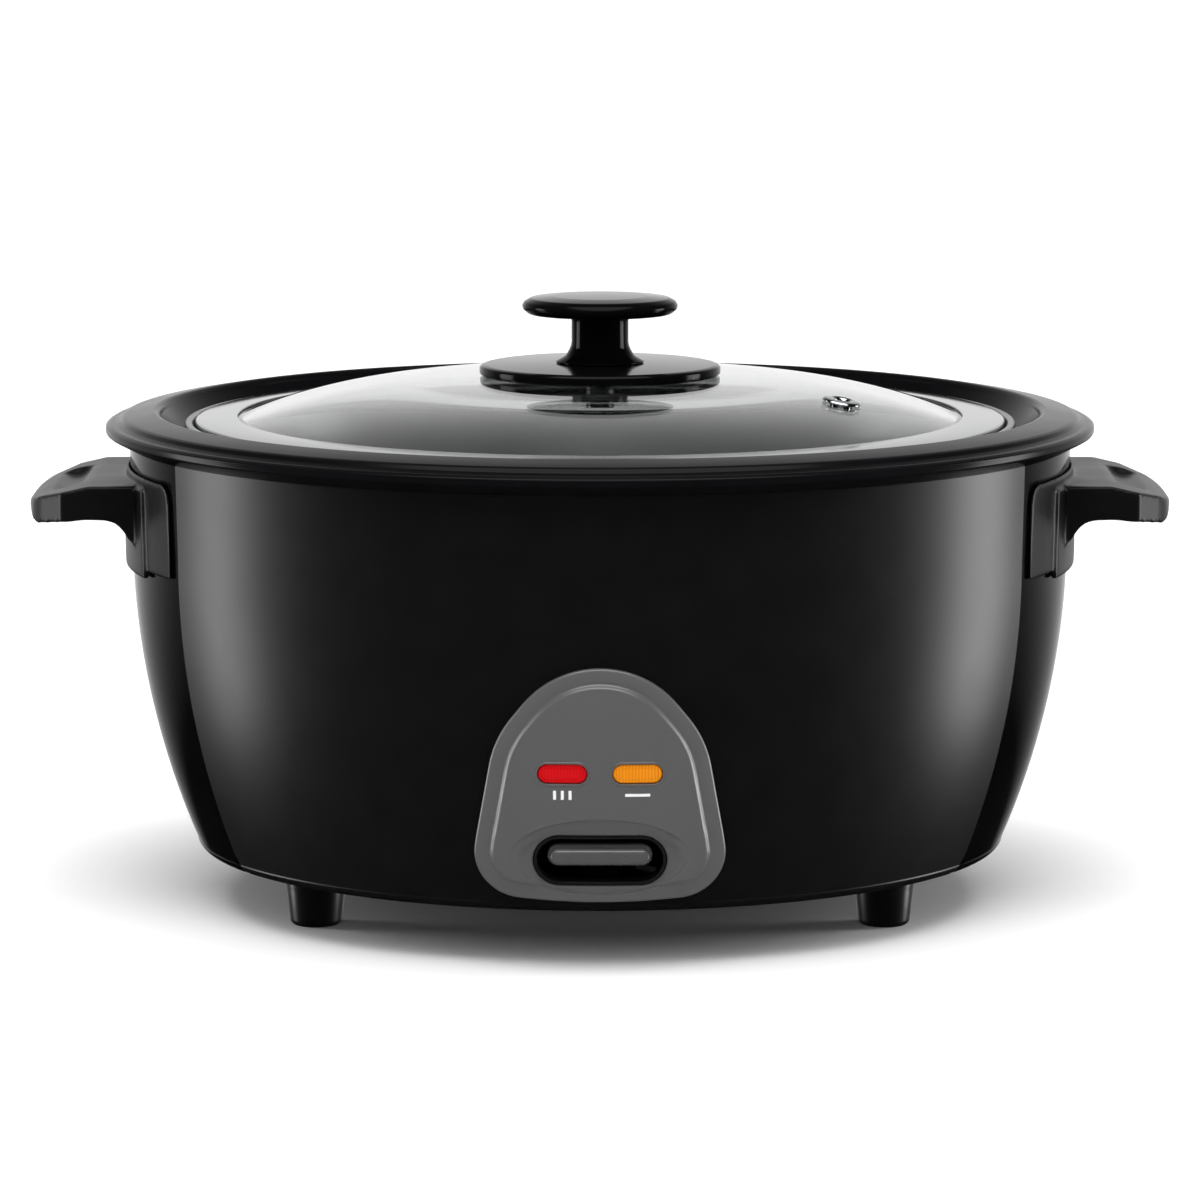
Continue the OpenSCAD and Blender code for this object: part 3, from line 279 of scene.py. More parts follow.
# The right-hand panel is the stronger one, so the two sheens differ a little.
lamp("overhead", "SUN", (0, -0.7, 3), (0, 0, 0), energy=3.1, angle=math.radians(62))
lamp("front_fill", "SUN", (0, -3, 2.2), (0, 0, 0), energy=1.5,
     angle=math.radians(60)).visible_glossy = False
for side, glow in ((-1, 8), (1, 11)):
    lamp("sheen_panel", "AREA", (side * 1.15, 0.19, 0.12), (side * 0.1, -0.1, 0.1),
         shape="RECTANGLE", size=0.36, size_y=0.95, energy=glow)

# %% Surroundings
def surroundings():
    """A dark room with a white wall far behind the object, which fades towards its top."""
    world = bpy.data.worlds.new("studio")
    bpy.context.scene.world = world
    world.use_nodes = True
    tree = world.node_tree
    way = add(tree, "ShaderNodeTexCoord").outputs["Generated"]
    part = add(tree, "ShaderNodeSeparateXYZ", {0: way})
    glow = span(tree, part.outputs["Y"], 0, 1, 0.35, 0.95)
    for high, low, start, end in ((0, 1, -0.3, -0.1), (1, 0.22, 0.1, 0.7)):
        level = span(tree, part.outputs["Z"], high, low, start, end)
        glow = add(tree, "ShaderNodeMath", {0: glow, 1: level}, operation="MULTIPLY").outputs[0]
    back = tree.nodes["Background"]
    back.inputs["Color"].default_value = (1, 1, 1, 1)
    tree.links.new(span(tree, glow, 0.01, 1.05), back.inputs["Strength"])
    return world


bpy.context.scene.view_settings.view_transform = "Standard"
print("world", surroundings().name)

# %% [markdown]
# ## Finishes
# Each finish starts from the real stuff: what it is, how its surface was made, and what that does
# to light. Patterns are sized in millimetres, so they keep their scale on every piece.

# %% Black finishes
# Lacquered sheet: satin, with the faint ripple that sprayed lacquer keeps.
lacquer, tree, shader, place = material("satin_black_lacquer", IOR=1.45, Specular_IOR_Level=0.32)
mist = grain(tree, place, 14).outputs[0]
tree.links.new(blend(tree, mist, linear("0a0a0b"), linear("101011")).outputs[0],
               shader.inputs["Base Color"])
tree.links.new(span(tree, mist, 0.33, 0.37), shader.inputs["Roughness"])
bumped(tree, shader, grain(tree, place, 1.4, 3).outputs[0], 0.006, 0.5)


def black_plastic(name, rough, grain_mm, depth_mm, low="08080a", high="0e0e10", level=0.5):
    """Moulded ABS: a polished or spark-eroded mould leaves it glossy or grained."""
    made, tree, shader, place = material(name, IOR=1.53, Specular_IOR_Level=level)
    smear = grain(tree, place, 22, 3).outputs[0]
    tree.links.new(blend(tree, smear, linear(low), linear(high)).outputs[0],
                   shader.inputs["Base Color"])
    tree.links.new(span(tree, smear, rough * 0.85, rough * 1.2), shader.inputs["Roughness"])
    bumped(tree, shader, grain(tree, place, grain_mm, 2).outputs[0], depth_mm, 0.6)
    return made


gloss_abs = black_plastic("polished_black_abs", 0.09, 3, 0.002, "030303", "060607", 0.05)
knob_abs = black_plastic("polished_black_phenolic", 0.12, 4, 0.002, "060606", "0a0a0b", 0.05)
collar_abs = black_plastic("satin_black_abs", 0.22, 0.8, 0.004, "09090a", "0e0e10", 0.06)
handle_abs = black_plastic("grained_black_phenolic", 0.32, 0.5, 0.012, "0a0a0b", "101012", 0.1)
foot_abs = black_plastic("moulded_black_pp", 0.3, 0.7, 0.008, "0c0c0d", "121214", 0.4)
base_abs = black_plastic("dark_grey_pp", 0.5, 0.6, 0.02, "1c1c1e", "262628", 0.4)
frame_abs = black_plastic("dark_grey_abs", 0.32, 0.5, 0.006, "141415", "1c1c1d", 0.4)

# %% Grey finishes
# Sprayed silver-grey lacquer on ABS: tiny flakes give it a soft metallic depth.
def grey_lacquer(name, low, high, rough):
    made, tree, shader, place = material(name, Metallic=0.35, IOR=1.5)
    flakes = grain(tree, place, 0.35, 3).outputs[0]
    tree.links.new(blend(tree, flakes, linear(low), linear(high)).outputs[0],
                   shader.inputs["Base Color"])
    tree.links.new(span(tree, flakes, rough * 0.9, rough * 1.1), shader.inputs["Roughness"])
    bumped(tree, shader, flakes, 0.004, 0.4)
    return made


panel_grey = grey_lacquer("silver_grey_lacquer", "626262", "6e6e6e", 0.34)
key_grey = grey_lacquer("dark_grey_lacquer", "545454", "606060", 0.26)

# %% Lamp windows
# Dyed polycarbonate, moulded with fine upright ribs on its inside. Its glow is painted: the window gives
# out its own colour as light and shines by itself, because the neon lamp behind it gives no light.
def window(name, low, high):
    made, tree, shader, place = material(name, IOR=1.58, Roughness=0.16, Coat_Weight=0.6,
                                         Coat_Roughness=0.05)
    ribs = add(tree, "ShaderNodeTexWave", {"Vector": place, "Scale": 1000 / 0.55 / 6.283,
                                           "Distortion": 0}, bands_direction="X").outputs[1]
    colour = blend(tree, ribs, linear(low), linear(high)).outputs[0]
    tree.links.new(colour, shader.inputs["Base Color"])
    # Painted glow: the window's colour is also its emission, so it lights up with no lamp behind it.
    tree.links.new(colour, shader.inputs["Emission Color"])
    shader.inputs["Emission Strength"].default_value = 0.22
    bumped(tree, shader, ribs, 0.01, 0.5)
    return made


red_window_painted_glow = window("dyed_polycarbonate_red_painted_glow", "b00008", "c0000a")
amber_window_painted_glow = window("dyed_polycarbonate_amber_painted_glow", "c87204", "d8840a")

# %% Metals
def metal(name, low, high, rough, size_mm, depth_mm=0.004, stretch=(1, 1, 1)):
    """Bare metal whose rolled, cast or drawn grain is size_mm across."""
    made, tree, shader, place = material(name, Metallic=1)
    marks = grain(tree, place, size_mm, 4, stretch).outputs[0]
    tree.links.new(blend(tree, marks, linear(low), linear(high)).outputs[0],
                   shader.inputs["Base Color"])
    tree.links.new(span(tree, marks, rough * 0.8, rough * 1.25), shader.inputs["Roughness"])
    bumped(tree, shader, marks, depth_mm, 0.4)
    return made


def spun_metal(name, low, high, rough, ring_mm, depth_mm, metallic=1):
    """Metal turned on a lathe: its fine rings follow the distance from the axis and the height."""
    made, tree, shader, place = material(name, Metallic=metallic)
    part = add(tree, "ShaderNodeSeparateXYZ", {0: place})
    flat = add(tree, "ShaderNodeCombineXYZ", {0: part.outputs[0], 1: part.outputs[1]})
    out = add(tree, "ShaderNodeVectorMath", {0: flat.outputs[0]}, operation="LENGTH")
    line = add(tree, "ShaderNodeCombineXYZ", {0: out.outputs["Value"], 2: part.outputs[2]})
    rings = grain(tree, line.outputs[0], ring_mm, 4).outputs[0]
    tree.links.new(blend(tree, rings, linear(low), linear(high)).outputs[0],
                   shader.inputs["Base Color"])
    tree.links.new(span(tree, rings, rough * 0.8, rough * 1.2), shader.inputs["Roughness"])
    bumped(tree, shader, rings, depth_mm, 0.5)
    return made


pot_metal = spun_metal("spun_aluminium", "8e8f90", "9c9d9e", 0.34, 0.9, 0.006, 0.8)
rim_metal = spun_metal("polished_stainless", "7c7d7f", "8c8d8f", 0.1, 0.5, 0.001)
plate_metal = spun_metal("turned_cast_aluminium", "a8aaac", "c4c6c8", 0.42, 0.7, 0.02)
steel = metal("galvanised_steel", "9a9da0", "b6b9bc", 0.35, 2.5)
liner_steel = metal("aluminised_steel", "a2a4a6", "babcbe", 0.38, 4)
brass = metal("rolled_brass", "b08d4c", "c8a562", 0.3, 1.2)
chrome = metal("chromed_brass", "a4a6a8", "b4b6b8", 0.1, 3, 0.001)
print("materials", len(bpy.data.materials))

# %% Other finishes
def plain(name, low, high, rough, size_mm, depth_mm=0.01, **sockets):
    """A moulded, fired or dyed material with a faint mottle of its own size."""
    made, tree, shader, place = material(name, **sockets)
    mottle = grain(tree, place, size_mm, 3).outputs[0]
    tree.links.new(blend(tree, mottle, linear(low), linear(high)).outputs[0],
                   shader.inputs["Base Color"])
    tree.links.new(span(tree, mottle, rough * 0.85, rough * 1.15), shader.inputs["Roughness"])
    bumped(tree, shader, mottle, depth_mm, 0.5)
    return made


def clear_glass():
    """Tempered soda-lime glass: clear and polished, with the faintest wipe marks."""
    made, tree, shader, place = material("tempered_glass", IOR=1.5, Transmission_Weight=1,
                                         Base_Color=linear("f6f8f7"))
    wipe = grain(tree, place, 30, 2, (3, 1, 1)).outputs[0]
    tree.links.new(span(tree, wipe, 0, 0.03, 0.4, 0.9), shader.inputs["Roughness"])
    return made


glass = clear_glass()
silicone = plain("translucent_silicone", "c8c8c4", "d6d6d2", 0.5, 2)
ceramic = plain("glazed_steatite", "e6e2d6", "f0ede4", 0.3, 1.5)
nylon = plain("white_polyamide", "dcdad2", "e8e6df", 0.45, 1)
bakelite = plain("brown_black_bakelite", "17120f", "241c17", 0.4, 0.9)
ferrite = plain("sintered_ferrite", "2c2c2e", "3c3c3e", 0.6, 0.5, 0.03)
mica = plain("mica_heater_band", "b59a6a", "cdb688", 0.45, 1.8, 0.03)
print_white = plain("white_pad_print", "dededc", "e8e8e6", 0.5, 0.4, 0.002)
neon = plain("neon_lamp_glass", "e8b8a8", "f4d2c4", 0.08, 2, 0.001, Transmission_Weight=0.6)
print("materials", len(bpy.data.materials))

# %% Wire insulation
def insulation(name, low, high):
    return plain(name, low, high, 0.4, 0.8, 0.004, IOR=1.53)


wire_coats = {
    "wire_live": insulation("pvc_brown", "4a2a18", "5c3620"),
    "wire_neutral": insulation("pvc_blue", "1c3f8c", "264ea0"),
    "wire_earth": insulation("pvc_green", "2c7a34", "38903f"),
    "wire_switched": insulation("pvc_grey", "6c6c6c", "7c7c7c"),
    "wire_lamps": insulation("pvc_white", "d8d8d4", "e6e6e2"),
}

# %% [markdown]
# ## Parts whose shape is already right
# The inner works and the screws were made as exact solids, so they keep their shape and only get a
# finish.

# %% Finishes for the inner works
inner = {
    steel: ["base_screws", "foot_screws", "handle_screws", "casing_screws", "plate_screws",
            "inlet_screws", "knob_screw", "knob_washer", "lever_arm", "lever_pin",
            "lever_bracket", "pull_rod", "release_spring", "sensor_spring", "fuse_clip"],
    liner_steel: ["inner_casing", "thermostat_base"],
    plate_metal: ["heating_plate", "sensor_cap"],
    brass: ["heater_terminals", "inlet_pins"],
    ceramic: ["lamp_holder"],
    nylon: ["switch_plunger"],
    bakelite: ["micro_switch", "inlet_socket"],
    ferrite: ["sensor_ferrite", "pull_magnet"],
    mica: ["warm_heater"],
    neon: ["neon_lamps"],
    chrome: ["thermal_fuse"],
    silicone: ["knob_gasket"],
    base_abs: ["base_plate"],
    lacquer: ["rear_shell"],
}
for coat, names in list(inner.items()) + [(c, [n]) for n, c in wire_coats.items()]:
    for name in names:
        for holder in parts[name].material_slots:
            holder.material = coat
print("finished as they are:", sum(len(names) for names in inner.values()) + len(wire_coats))

# %% [markdown]
# ## The body's skin
# Two lacquered shells cover the front and the back, and two gloss panels close the sides. Each is one
# pressed or moulded sheet. The front shell and the side panels start as a line that is spun part of the
# way round; the front shell has its lower corners cut to an arc, and each then gets its wall from a
# Solidify modifier and its small edge radius from a Bevel modifier. The rear shell keeps its solid shape
# and takes the same lacquer.

# %% Skin of the body
SEAM_DEG = 61
SEAM_GAP = 0.06


def skin_line(inset=0.0):
    """Outer line of the skin, from under the bottom edge up to the collar."""
    low = BASE_Z + inset
    centre_r = body_r(BASE_Z + EDGE_R) - EDGE_R
    line = [(centre_r - 1.4, low)]
    line += [(centre_r + (EDGE_R - inset) * math.sin(a), BASE_Z + EDGE_R
              - (EDGE_R - inset) * math.cos(a)) for a in [math.radians(d) for d in range(0, 76, 12)]]
    line += [(body_r(z) - inset, z) for z in [BASE_Z + 3.2 + i * 5 for i in range(22)]]
    line += [(body_r(z) - inset, z) for z in (WAIST_Z, 148, SHELL_TOP)]
    return line


def walled(piece, wall_mm, edge_mm, steps=3, inwards=True):
    """Gives a sheet its wall and rounds its edges."""
    solid = piece.modifiers.new("wall", "SOLIDIFY")
    solid.thickness = wall_mm * MM
    solid.offset = -1 if inwards else 1
    solid.use_even_offset = True
    edge = piece.modifiers.new("edge", "BEVEL")
    edge.width = edge_mm * MM
    edge.segments = steps
    edge.limit_method = "ANGLE"
    edge.angle_limit = math.radians(50)
    edge.harden_normals = True
    return piece


def outwards(bm, middle):
    """Turns a sheet's faces so that they look away from a point."""
    bm.normal_update()
    wrong = [f for f in bm.faces if (f.calc_center_median() - Vector(middle)).dot(f.normal) < 0]
    if len(wrong) > len(bm.faces) / 2:
        bmesh.ops.reverse_faces(bm, faces=bm.faces)


def cut_corner(bm, seam_deg, turn, radius):
    """Rounds a lower corner of a sheet with eight flat cuts that touch one arc."""
    angle = math.radians(seam_deg)
    along = Vector((-math.sin(angle), math.cos(angle), 0)) * turn
    down = Vector((0, 0, -1))
    edge_r = body_r(BASE_Z)
    centre = Vector((math.cos(angle) * edge_r, math.sin(angle) * edge_r, BASE_Z + radius))
    centre -= along * radius
    for step in range(1, 9):
        lean = math.radians(step * 10)
        normal = along * math.cos(lean) + down * math.sin(lean)
        bmesh.ops.bisect_plane(bm, geom=bm.verts[:] + bm.edges[:] + bm.faces[:], dist=0.0001,
                               plane_co=centre + normal * radius, plane_no=normal,
                               clear_outer=True)


def keep_or_drop(bm, planes, drop):
    """Slices a mesh along planes, then deletes the faces whose middle the test picks."""
    for place, normal in planes:
        bmesh.ops.bisect_plane(bm, geom=bm.verts[:] + bm.edges[:] + bm.faces[:], dist=0.0001,
                               plane_co=place, plane_no=normal)
    gone = [f for f in bm.faces if drop(f.calc_center_median())]
    bmesh.ops.delete(bm, geom=gone, context="FACES")


def front_shell():
    """The front shell, open behind the panel for the lamps and the lever."""
    half = SEAM_DEG - SEAM_GAP
    bm = spun(skin_line(), 270 - half, 2 * half, 2)
    outwards(bm, (0, 0, 60))
    for turn in (1, -1):
        cut_corner(bm, 270 + turn * half, turn, 8)
    edges = [((x, 0, 0), (1, 0, 0)) for x in (-24.5, 24.5)] + [((0, 0, z), (0, 0, 1))
                                                               for z in (29, 76)]
    keep_or_drop(bm, edges, lambda c: abs(c.x) < 24.5 and 29 < c.z < 76)
    return walled(finish_piece(bm, "front_shell_skin", "casing", lacquer, ["front_shell"]), WALL, 0.6)


def side_panel(name, middle_deg):
    """A side panel; past its seams it runs on low down, under the shells' rounded corners."""
    half, more, low = 90 - SEAM_DEG, 3.5, BASE_Z + 9
    bm = spun(skin_line(), middle_deg - half - more, 2 * (half + more), 2.5)
    outwards(bm, (0, 0, 60))
    middle = Vector((math.cos(math.radians(middle_deg)), math.sin(math.radians(middle_deg)), 0))

    def past(point):
        flat = Vector((point.x, point.y, 0))
        return math.degrees(flat.angle(middle)) > half + 0.01

    planes = [((0, 0, low), (0, 0, 1))]
    for turn in (1, -1):
        angle = math.radians(middle_deg + turn * half + 90)
        planes.append(((0, 0, 0), (math.cos(angle), math.sin(angle), 0)))
    keep_or_drop(bm, planes, lambda c: past(c) and c.z > low)
    for vert in bm.verts:
        if past(vert.co):
            vert.co.xy *= 1 - 0.3 / vert.co.xy.length
    return walled(finish_piece(bm, name + "_skin", "casing", gloss_abs, [name]),
                  WALL, 0.5)


front_shell()
side_panel("side_panel_right", 0)
side_panel("side_panel_left", 180)

# %% [markdown]
# ## Collar
# A wide moulded ring hides the top edge of the skin. Its section has a flat land, a step and a
# rolled lip. The whole ring is one closed section that is spun once round.

# %% Collar
OPENING_R, COLLAR_Z, LIP_R, THROAT_R, LEDGE_Z = 158.5, 176.6, 176.4, 149.3, 166.4


def collar():
    z, r = COLLAR_Z, OPENING_R
    corners = [(THROAT_R, LEDGE_Z - 4.9, 0), (THROAT_R, LEDGE_Z, 0.9), (r - 7.4, LEDGE_Z + 0.2, 2),
               (r - 1.7, z - 2.4, 1.4), (r - 1.3, z - 1.2, 1), (r - 0.4, z - 0.3, 1),
               (r + 0.8, z, 1), (r + 10.6, z - 1.7, 2), (r + 11.9, z - 2.2, 0.9),
               (r + 12.8, z - 3.4, 0.8), (r + 14.4, z - 4.1, 0.8), (LIP_R - 1.6, z - 4.3, 0.8),
               (LIP_R, z - 5.2, 0.9), (LIP_R, z - 7.4, 0.8), (LIP_R - 1.4, z - 8.2, 0.8),
               (NECK_R + 0.6, SHELL_TOP + 0.1, 0.3), (165.1, SHELL_TOP + 0.1, 0.3),
               (165.1, 158, 0.6), (162.7, 158, 0.6), (162.7, 167, 1), (166.1, 170, 1),
               (r + 2, z - 3.1, 1), (r - 4.6, LEDGE_Z - 1.6, 1), (THROAT_R + 2.2, LEDGE_Z - 2.6, 1),
               (THROAT_R + 2.2, LEDGE_Z - 4.9, 0)]
    bm = spun(rounded(corners), step_deg=2, closed=True)
    return finish_piece(bm, "collar_ring", "casing", collar_abs, ["rim_collar"], 40)


collar()

# %% [markdown]
# ## Feet
# Four short tapered feet, turned shapes with a rounded lower edge.

# %% Feet
def foot(name, x, y):
    line = rounded([(0, 0, 0), (8.9, 0, 2.4), (10.3, 13, 2), (11.25, 19.4, 0.5), (11.1, 19.9, 0),
                    (0, 19.9, 0)])
    bm = spun(line, step_deg=7.5)
    bmesh.ops.translate(bm, verts=bm.verts, vec=(x, y, 0))
    return finish_piece(bm, name + "_body", "casing", foot_abs, [name], 40)


for name, x, y in (("foot_front_left", -100, -60), ("foot_front_right", 100, -60),
                   ("foot_rear_left", -100, 60), ("foot_rear_right", 100, 60)):
    foot(name, x, y)

# %% [markdown]
# ## Inner pot
# A deep drawn aluminium pot with a rounded bottom corner, a step that carries the lid, and a
# rolled bead round its mouth. One closed section gives the wall its even thickness.

# %% Inner pot
POT_R, POT_Z, POT_WALL, POT_CORNER, REST_Z, SHOULDER_R, BEAD_Z = 143, 66.3, 1.6, 24, 167.9, 147, 171


def pot():
    inner_r, step = POT_R - POT_WALL, REST_Z - POT_WALL
    corners = [(0, POT_Z, 0), (POT_R, POT_Z, POT_CORNER), (POT_R, step, 0.8),
               (SHOULDER_R, step, 1.6), (SHOULDER_R, BEAD_Z - 1.1, 0.3), (148.4, BEAD_Z - 1.0, 1),
               (148.4, BEAD_Z + 1.5, 1.4), (145.4, BEAD_Z + 1.5, 1.4), (145.4, REST_Z, 0.6),
               (inner_r, REST_Z, 0.8), (inner_r, POT_Z + POT_WALL, POT_CORNER - POT_WALL),
               (0, POT_Z + POT_WALL, 0)]
    bm = spun(rounded(corners), step_deg=2)
    return finish_piece(bm, "pot_drawing", "pot", pot_metal, ["inner_pot"], 40)


pot()

# %% [markdown]
# ## Lid
# A pressed dome of tempered glass with a flat brim, which a folded steel rim grips. A stem with a
# wide skirt stands in the middle, and a small eyelet lets the steam out. The glass needs a real
# inner and outer face, because both bend the light.

# %% Glass dome
GLASS_T, BRIM_IN_R, GLASS_R, BRIM_Z = 4, 128.1, 142.8, dome_z(128.7)
BRIM_LOW_Z = BRIM_Z - 0.9 - GLASS_T


def dome_line(inset, count=26, last=128.1):
    """Points of the dome's section, moved inwards along its normal by inset."""
    line = []
    for i in range(count + 1):
        r = last * i / count
        slope = (dome_z(r + 0.01) - dome_z(abs(r - 0.01))) / 0.02 if r else 0
        normal = Vector((-slope, 1)).normalized()
        line.append((max(r - normal.x * inset, 0), dome_z(r) - normal.y * inset))
    return line


def lid_glass():
    outer = dome_line(0)
    under = [p for p in dome_line(GLASS_T) if p[1] > BRIM_LOW_Z + 0.6]
    line = outer + [(BRIM_IN_R + 1, BRIM_Z - 0.1), (GLASS_R - 0.6, BRIM_Z - 0.9),
                    (GLASS_R, BRIM_Z - 1.5), (GLASS_R, BRIM_LOW_Z + 0.6),
                    (GLASS_R - 0.6, BRIM_LOW_Z), (BRIM_IN_R - 1, BRIM_LOW_Z)] + under[::-1]
    bm = spun(line, step_deg=2)
    return finish_piece(bm, "dome_glass", "lid", glass, ["lid_glass"], 30)


lid_glass()

# %% Steel rim of the lid
RIM_R, RIM_IN_R, RIM_T = 144.6, 129.5, 0.6


def lid_rim():
    top, fold, low = BRIM_Z + RIM_T + 0.1, BRIM_Z - 0.9, BRIM_LOW_Z - RIM_T - 0.1
    corners = [(RIM_IN_R, top - RIM_T, 0.1), (GLASS_R + 0.4, fold + 0.1, 0.3),
               (RIM_R - RIM_T, fold - 1.2, 0.5), (RIM_R - RIM_T, low + RIM_T, 0.3),
               (GLASS_R - 6, low + RIM_T, 0.1), (GLASS_R - 6, low, 0.1), (RIM_R, low, 0.6),
               (RIM_R, fold + RIM_T - 0.2, 1.2), (RIM_R - 1.2, fold + RIM_T, 1.2),
               (RIM_IN_R, top, 0.2)]
    line = rounded(corners + corners[:1])[:-1]
    bm = spun(line, step_deg=2, closed=True)
    return finish_piece(bm, "folded_rim", "lid", rim_metal, ["lid_rim"], 40)


lid_rim()

# %% Knob, skirt and eyelet
SKIRT_R, SKIRT_Z = 43.1, 189.3


def knob():
    corners = [(0, 216.8, 0), (16.7, 216.5, 8), (24.9, 215.8, 2.5), (27.1, 214.6, 1.2), (27.9, 213.2, 1),
               (27.5, 211.8, 1), (25.5, 210.2, 1.2), (10.2, 210.2, 2.6), (10.2, 198.8, 6),
               (12.2, 195.2, 3), (16.6, 192.8, 0.3), (0, 192.8, 0)]
    bm = spun(rounded(corners), step_deg=3)
    return finish_piece(bm, "knob_turning", "lid", knob_abs, ["knob"], 40)


def skirt():
    r, edge = SKIRT_R, dome_z(SKIRT_R) + 0.3
    corners = [(2.9, SKIRT_Z, 0), (12, SKIRT_Z, 0.5), (13, SKIRT_Z + 1.1, 0.5),
               (r - 4, edge + 1.4, 1), (r - 2.6, edge, 0.6), (r - 1, edge, 0.4), (r, edge + 0.7, 0.5),
               (r, edge + 2.8, 0.6), (r - 0.8, edge + 3.5, 0.6), (r - 2.4, edge + 3.8, 1),
               (17.5, 192.6, 3), (2.9, 192.6, 0)]
    bm = spun(rounded(corners), step_deg=3, closed=True)
    return finish_piece(bm, "skirt_disc", "lid", knob_abs, ["knob_skirt"], 40)


def eyelet():
    section = [(2.4, -5.6, 0.2), (6, -5.6, 0.3), (6, -4.7, 0.3), (4, -4.5, 0.2), (4, 0.4, 0.2),
               (6.9, 0.4, 0.2), (7, 0.8, 0.4), (6.2, 1.4, 0.6), (4, 1.6, 0.6), (3, 1.3, 0.5),
               (2.4, 0.4, 0.5)]
    bm = spun(rounded(section + section[:1])[:-1], step_deg=10, closed=True)
    tilt = math.asin((95.9 - SHOULDER_X) / SHOULDER_RHO)
    place = (Matrix.Rotation(math.radians(-28), 4, "Z")
             @ Matrix.Translation((95.9, 0, dome_z(95.9))) @ Matrix.Rotation(tilt, 4, "Y"))
    bmesh.ops.transform(bm, matrix=place, verts=bm.verts)
    return finish_piece(bm, "steam_eyelet_ring", "lid", chrome, ["steam_eyelet"], 40)


knob()
skirt()
eyelet()

# %% [markdown]
# ## Control panel
# A moulded plate that follows the round wall: a low rim, a raised middle, a dished hollow with a
# slot for the lever, and two lamp windows. A flat sheet would not show those soft steps, so the
# plate is a grid wrapped round the slot. Each ray of the grid has points exactly where the form
# changes, and a height rule then lifts every point off the body.

# %% Outlines seen from the front
PANEL_TOP, PANEL_LOW, PANEL_HALF = 107.1, 24, 42.5
LENS_X, LENS_Z, LENS_W, LENS_H = 12.65, 70.8, 16.6, 6.6
SLOT_W, SLOT_H, SLOT_Z = 45.5, 18.3, 39.25
DISH_Z, DISH_HALF_W, DISH_HALF_H = 40.65, 30.5, 13.9
MARK_Z = 63.4


def on_front(x, z, out):
    """The point that stands out from the body's front by a distance."""
    if z >= WAIST_Z:
        radius = body_r(z) + out
    else:
        radius = WAIST_R - BELLY_RHO + math.sqrt((BELLY_RHO + out) ** 2 - (WAIST_Z - z) ** 2)
    return Vector((x, -math.sqrt(radius ** 2 - x * x), z))


def stadium(turn, width, height, out=0.0):
    """Point of a long rounded outline in a direction, grown by out."""
    c, s = math.cos(turn), math.sin(turn)
    straight = (width - height) / 2 * (0 if abs(c) < 1e-6 else math.copysign(1, c))
    return straight + (height / 2 + out) * c, (height / 2 + out) * s


def stadium_depth(x, z, width, height):
    """How far a point lies outside a long rounded outline."""
    return math.hypot(max(abs(x) - (width - height) / 2, 0), z) - height / 2


low_r = 16.5
rounds = [(0, PANEL_TOP - 33, 33), (0, PANEL_TOP - 41, PANEL_HALF - 4.5)]
rounds += [(s * (PANEL_HALF - low_r), PANEL_LOW + 1.2 + low_r, low_r) for s in (-1, 1)]
rounds += [(s * (PANEL_HALF - low_r) * k, PANEL_LOW + 1.2 * k * k, 0)
           for s in (-1, 1) for k in (0, 0.33, 0.67)]
reach = []
for step in range(180):
    turn = math.radians(step * 2)
    c, s = math.cos(turn), math.sin(turn)
    reach.append((c, s, max(x * c + z * s + r for x, z, r in rounds)))


def rim_depth(x, z):
    """How far a point lies inside the panel's outline."""
    return min(far - x * c - z * s for c, s, far in reach)


def dish_depth(x, z):
    """How far a point lies inside the oval hollow, roughly in millimetres."""
    u, v = x / DISH_HALF_W, (z - DISH_Z) / DISH_HALF_H
    size = math.hypot(u, v) or 1e-6
    slope = math.hypot(u / DISH_HALF_W, v / DISH_HALF_H) / size or 1e-6
    return (1 - size) / slope


# %% Height of the panel
def ease(value):
    value = min(max(value, 0), 1)
    return value * value * value * (value * (value * 6 - 15) + 10)


def fillet(depth, radius):
    """How far a rounded edge has dropped at a distance from the edge."""
    if depth >= radius:
        return 0
    return radius - math.sqrt(max(radius ** 2 - (radius - max(depth, 0)) ** 2, 0))


def panel_height(x, z):
    rim = rim_depth(x, z)
    high = 2.2 + 1.8 * ease((rim - 4.9) / 1.9)
    inside = dish_depth(x, z)
    tall = (z - DISH_Z) / DISH_HALF_H
    ledge = 0.25 + 1.15 * ease((tall - 0.3) / 0.35) + 0.75 * ease((-tall - 0.3) / 0.35)
    slot = stadium_depth(x, z - SLOT_Z, SLOT_W, SLOT_H)
    ramp = 1.4 + (max(high - ledge, 1.4) - 1.4) * ease(slot / max(slot + inside, 0.01) * 1.15)
    high += (min(ramp, high) - high) * ease((inside + 0.35) / 1.0)
    return high - fillet(rim, 1.0) - fillet(slot, 0.7)


# %% Wrapped grids
def wrapped(columns, rows, place):
    """A grid bent into a closed ring; place turns its two 0..1 positions into a point."""
    bm = bmesh.new()
    bmesh.ops.create_grid(bm, x_segments=columns, y_segments=rows, size=0.5)
    for vert in bm.verts:
        vert.co = place(vert.co.x + 0.5, vert.co.y + 0.5)
    bmesh.ops.remove_doubles(bm, verts=bm.verts, dist=WELD_MM)
    bmesh.ops.recalc_face_normals(bm, faces=bm.faces)
    return bm


def joined(bms):
    """One bmesh from several."""
    whole = bmesh.new()
    for bm in bms:
        mesh = bpy.data.meshes.new("part")
        bm.to_mesh(mesh)
        bm.free()
        whole.from_mesh(mesh)
        bpy.data.meshes.remove(mesh)
    return whole


def solve(test, near, far):
    """The distance between near and far where a falling value reaches zero."""
    for _ in range(30):
        middle = (near + far) / 2
        near, far = (middle, far) if test(middle) > 0 else (near, middle)
    return near


# %% Panel plate
RAYS = 240


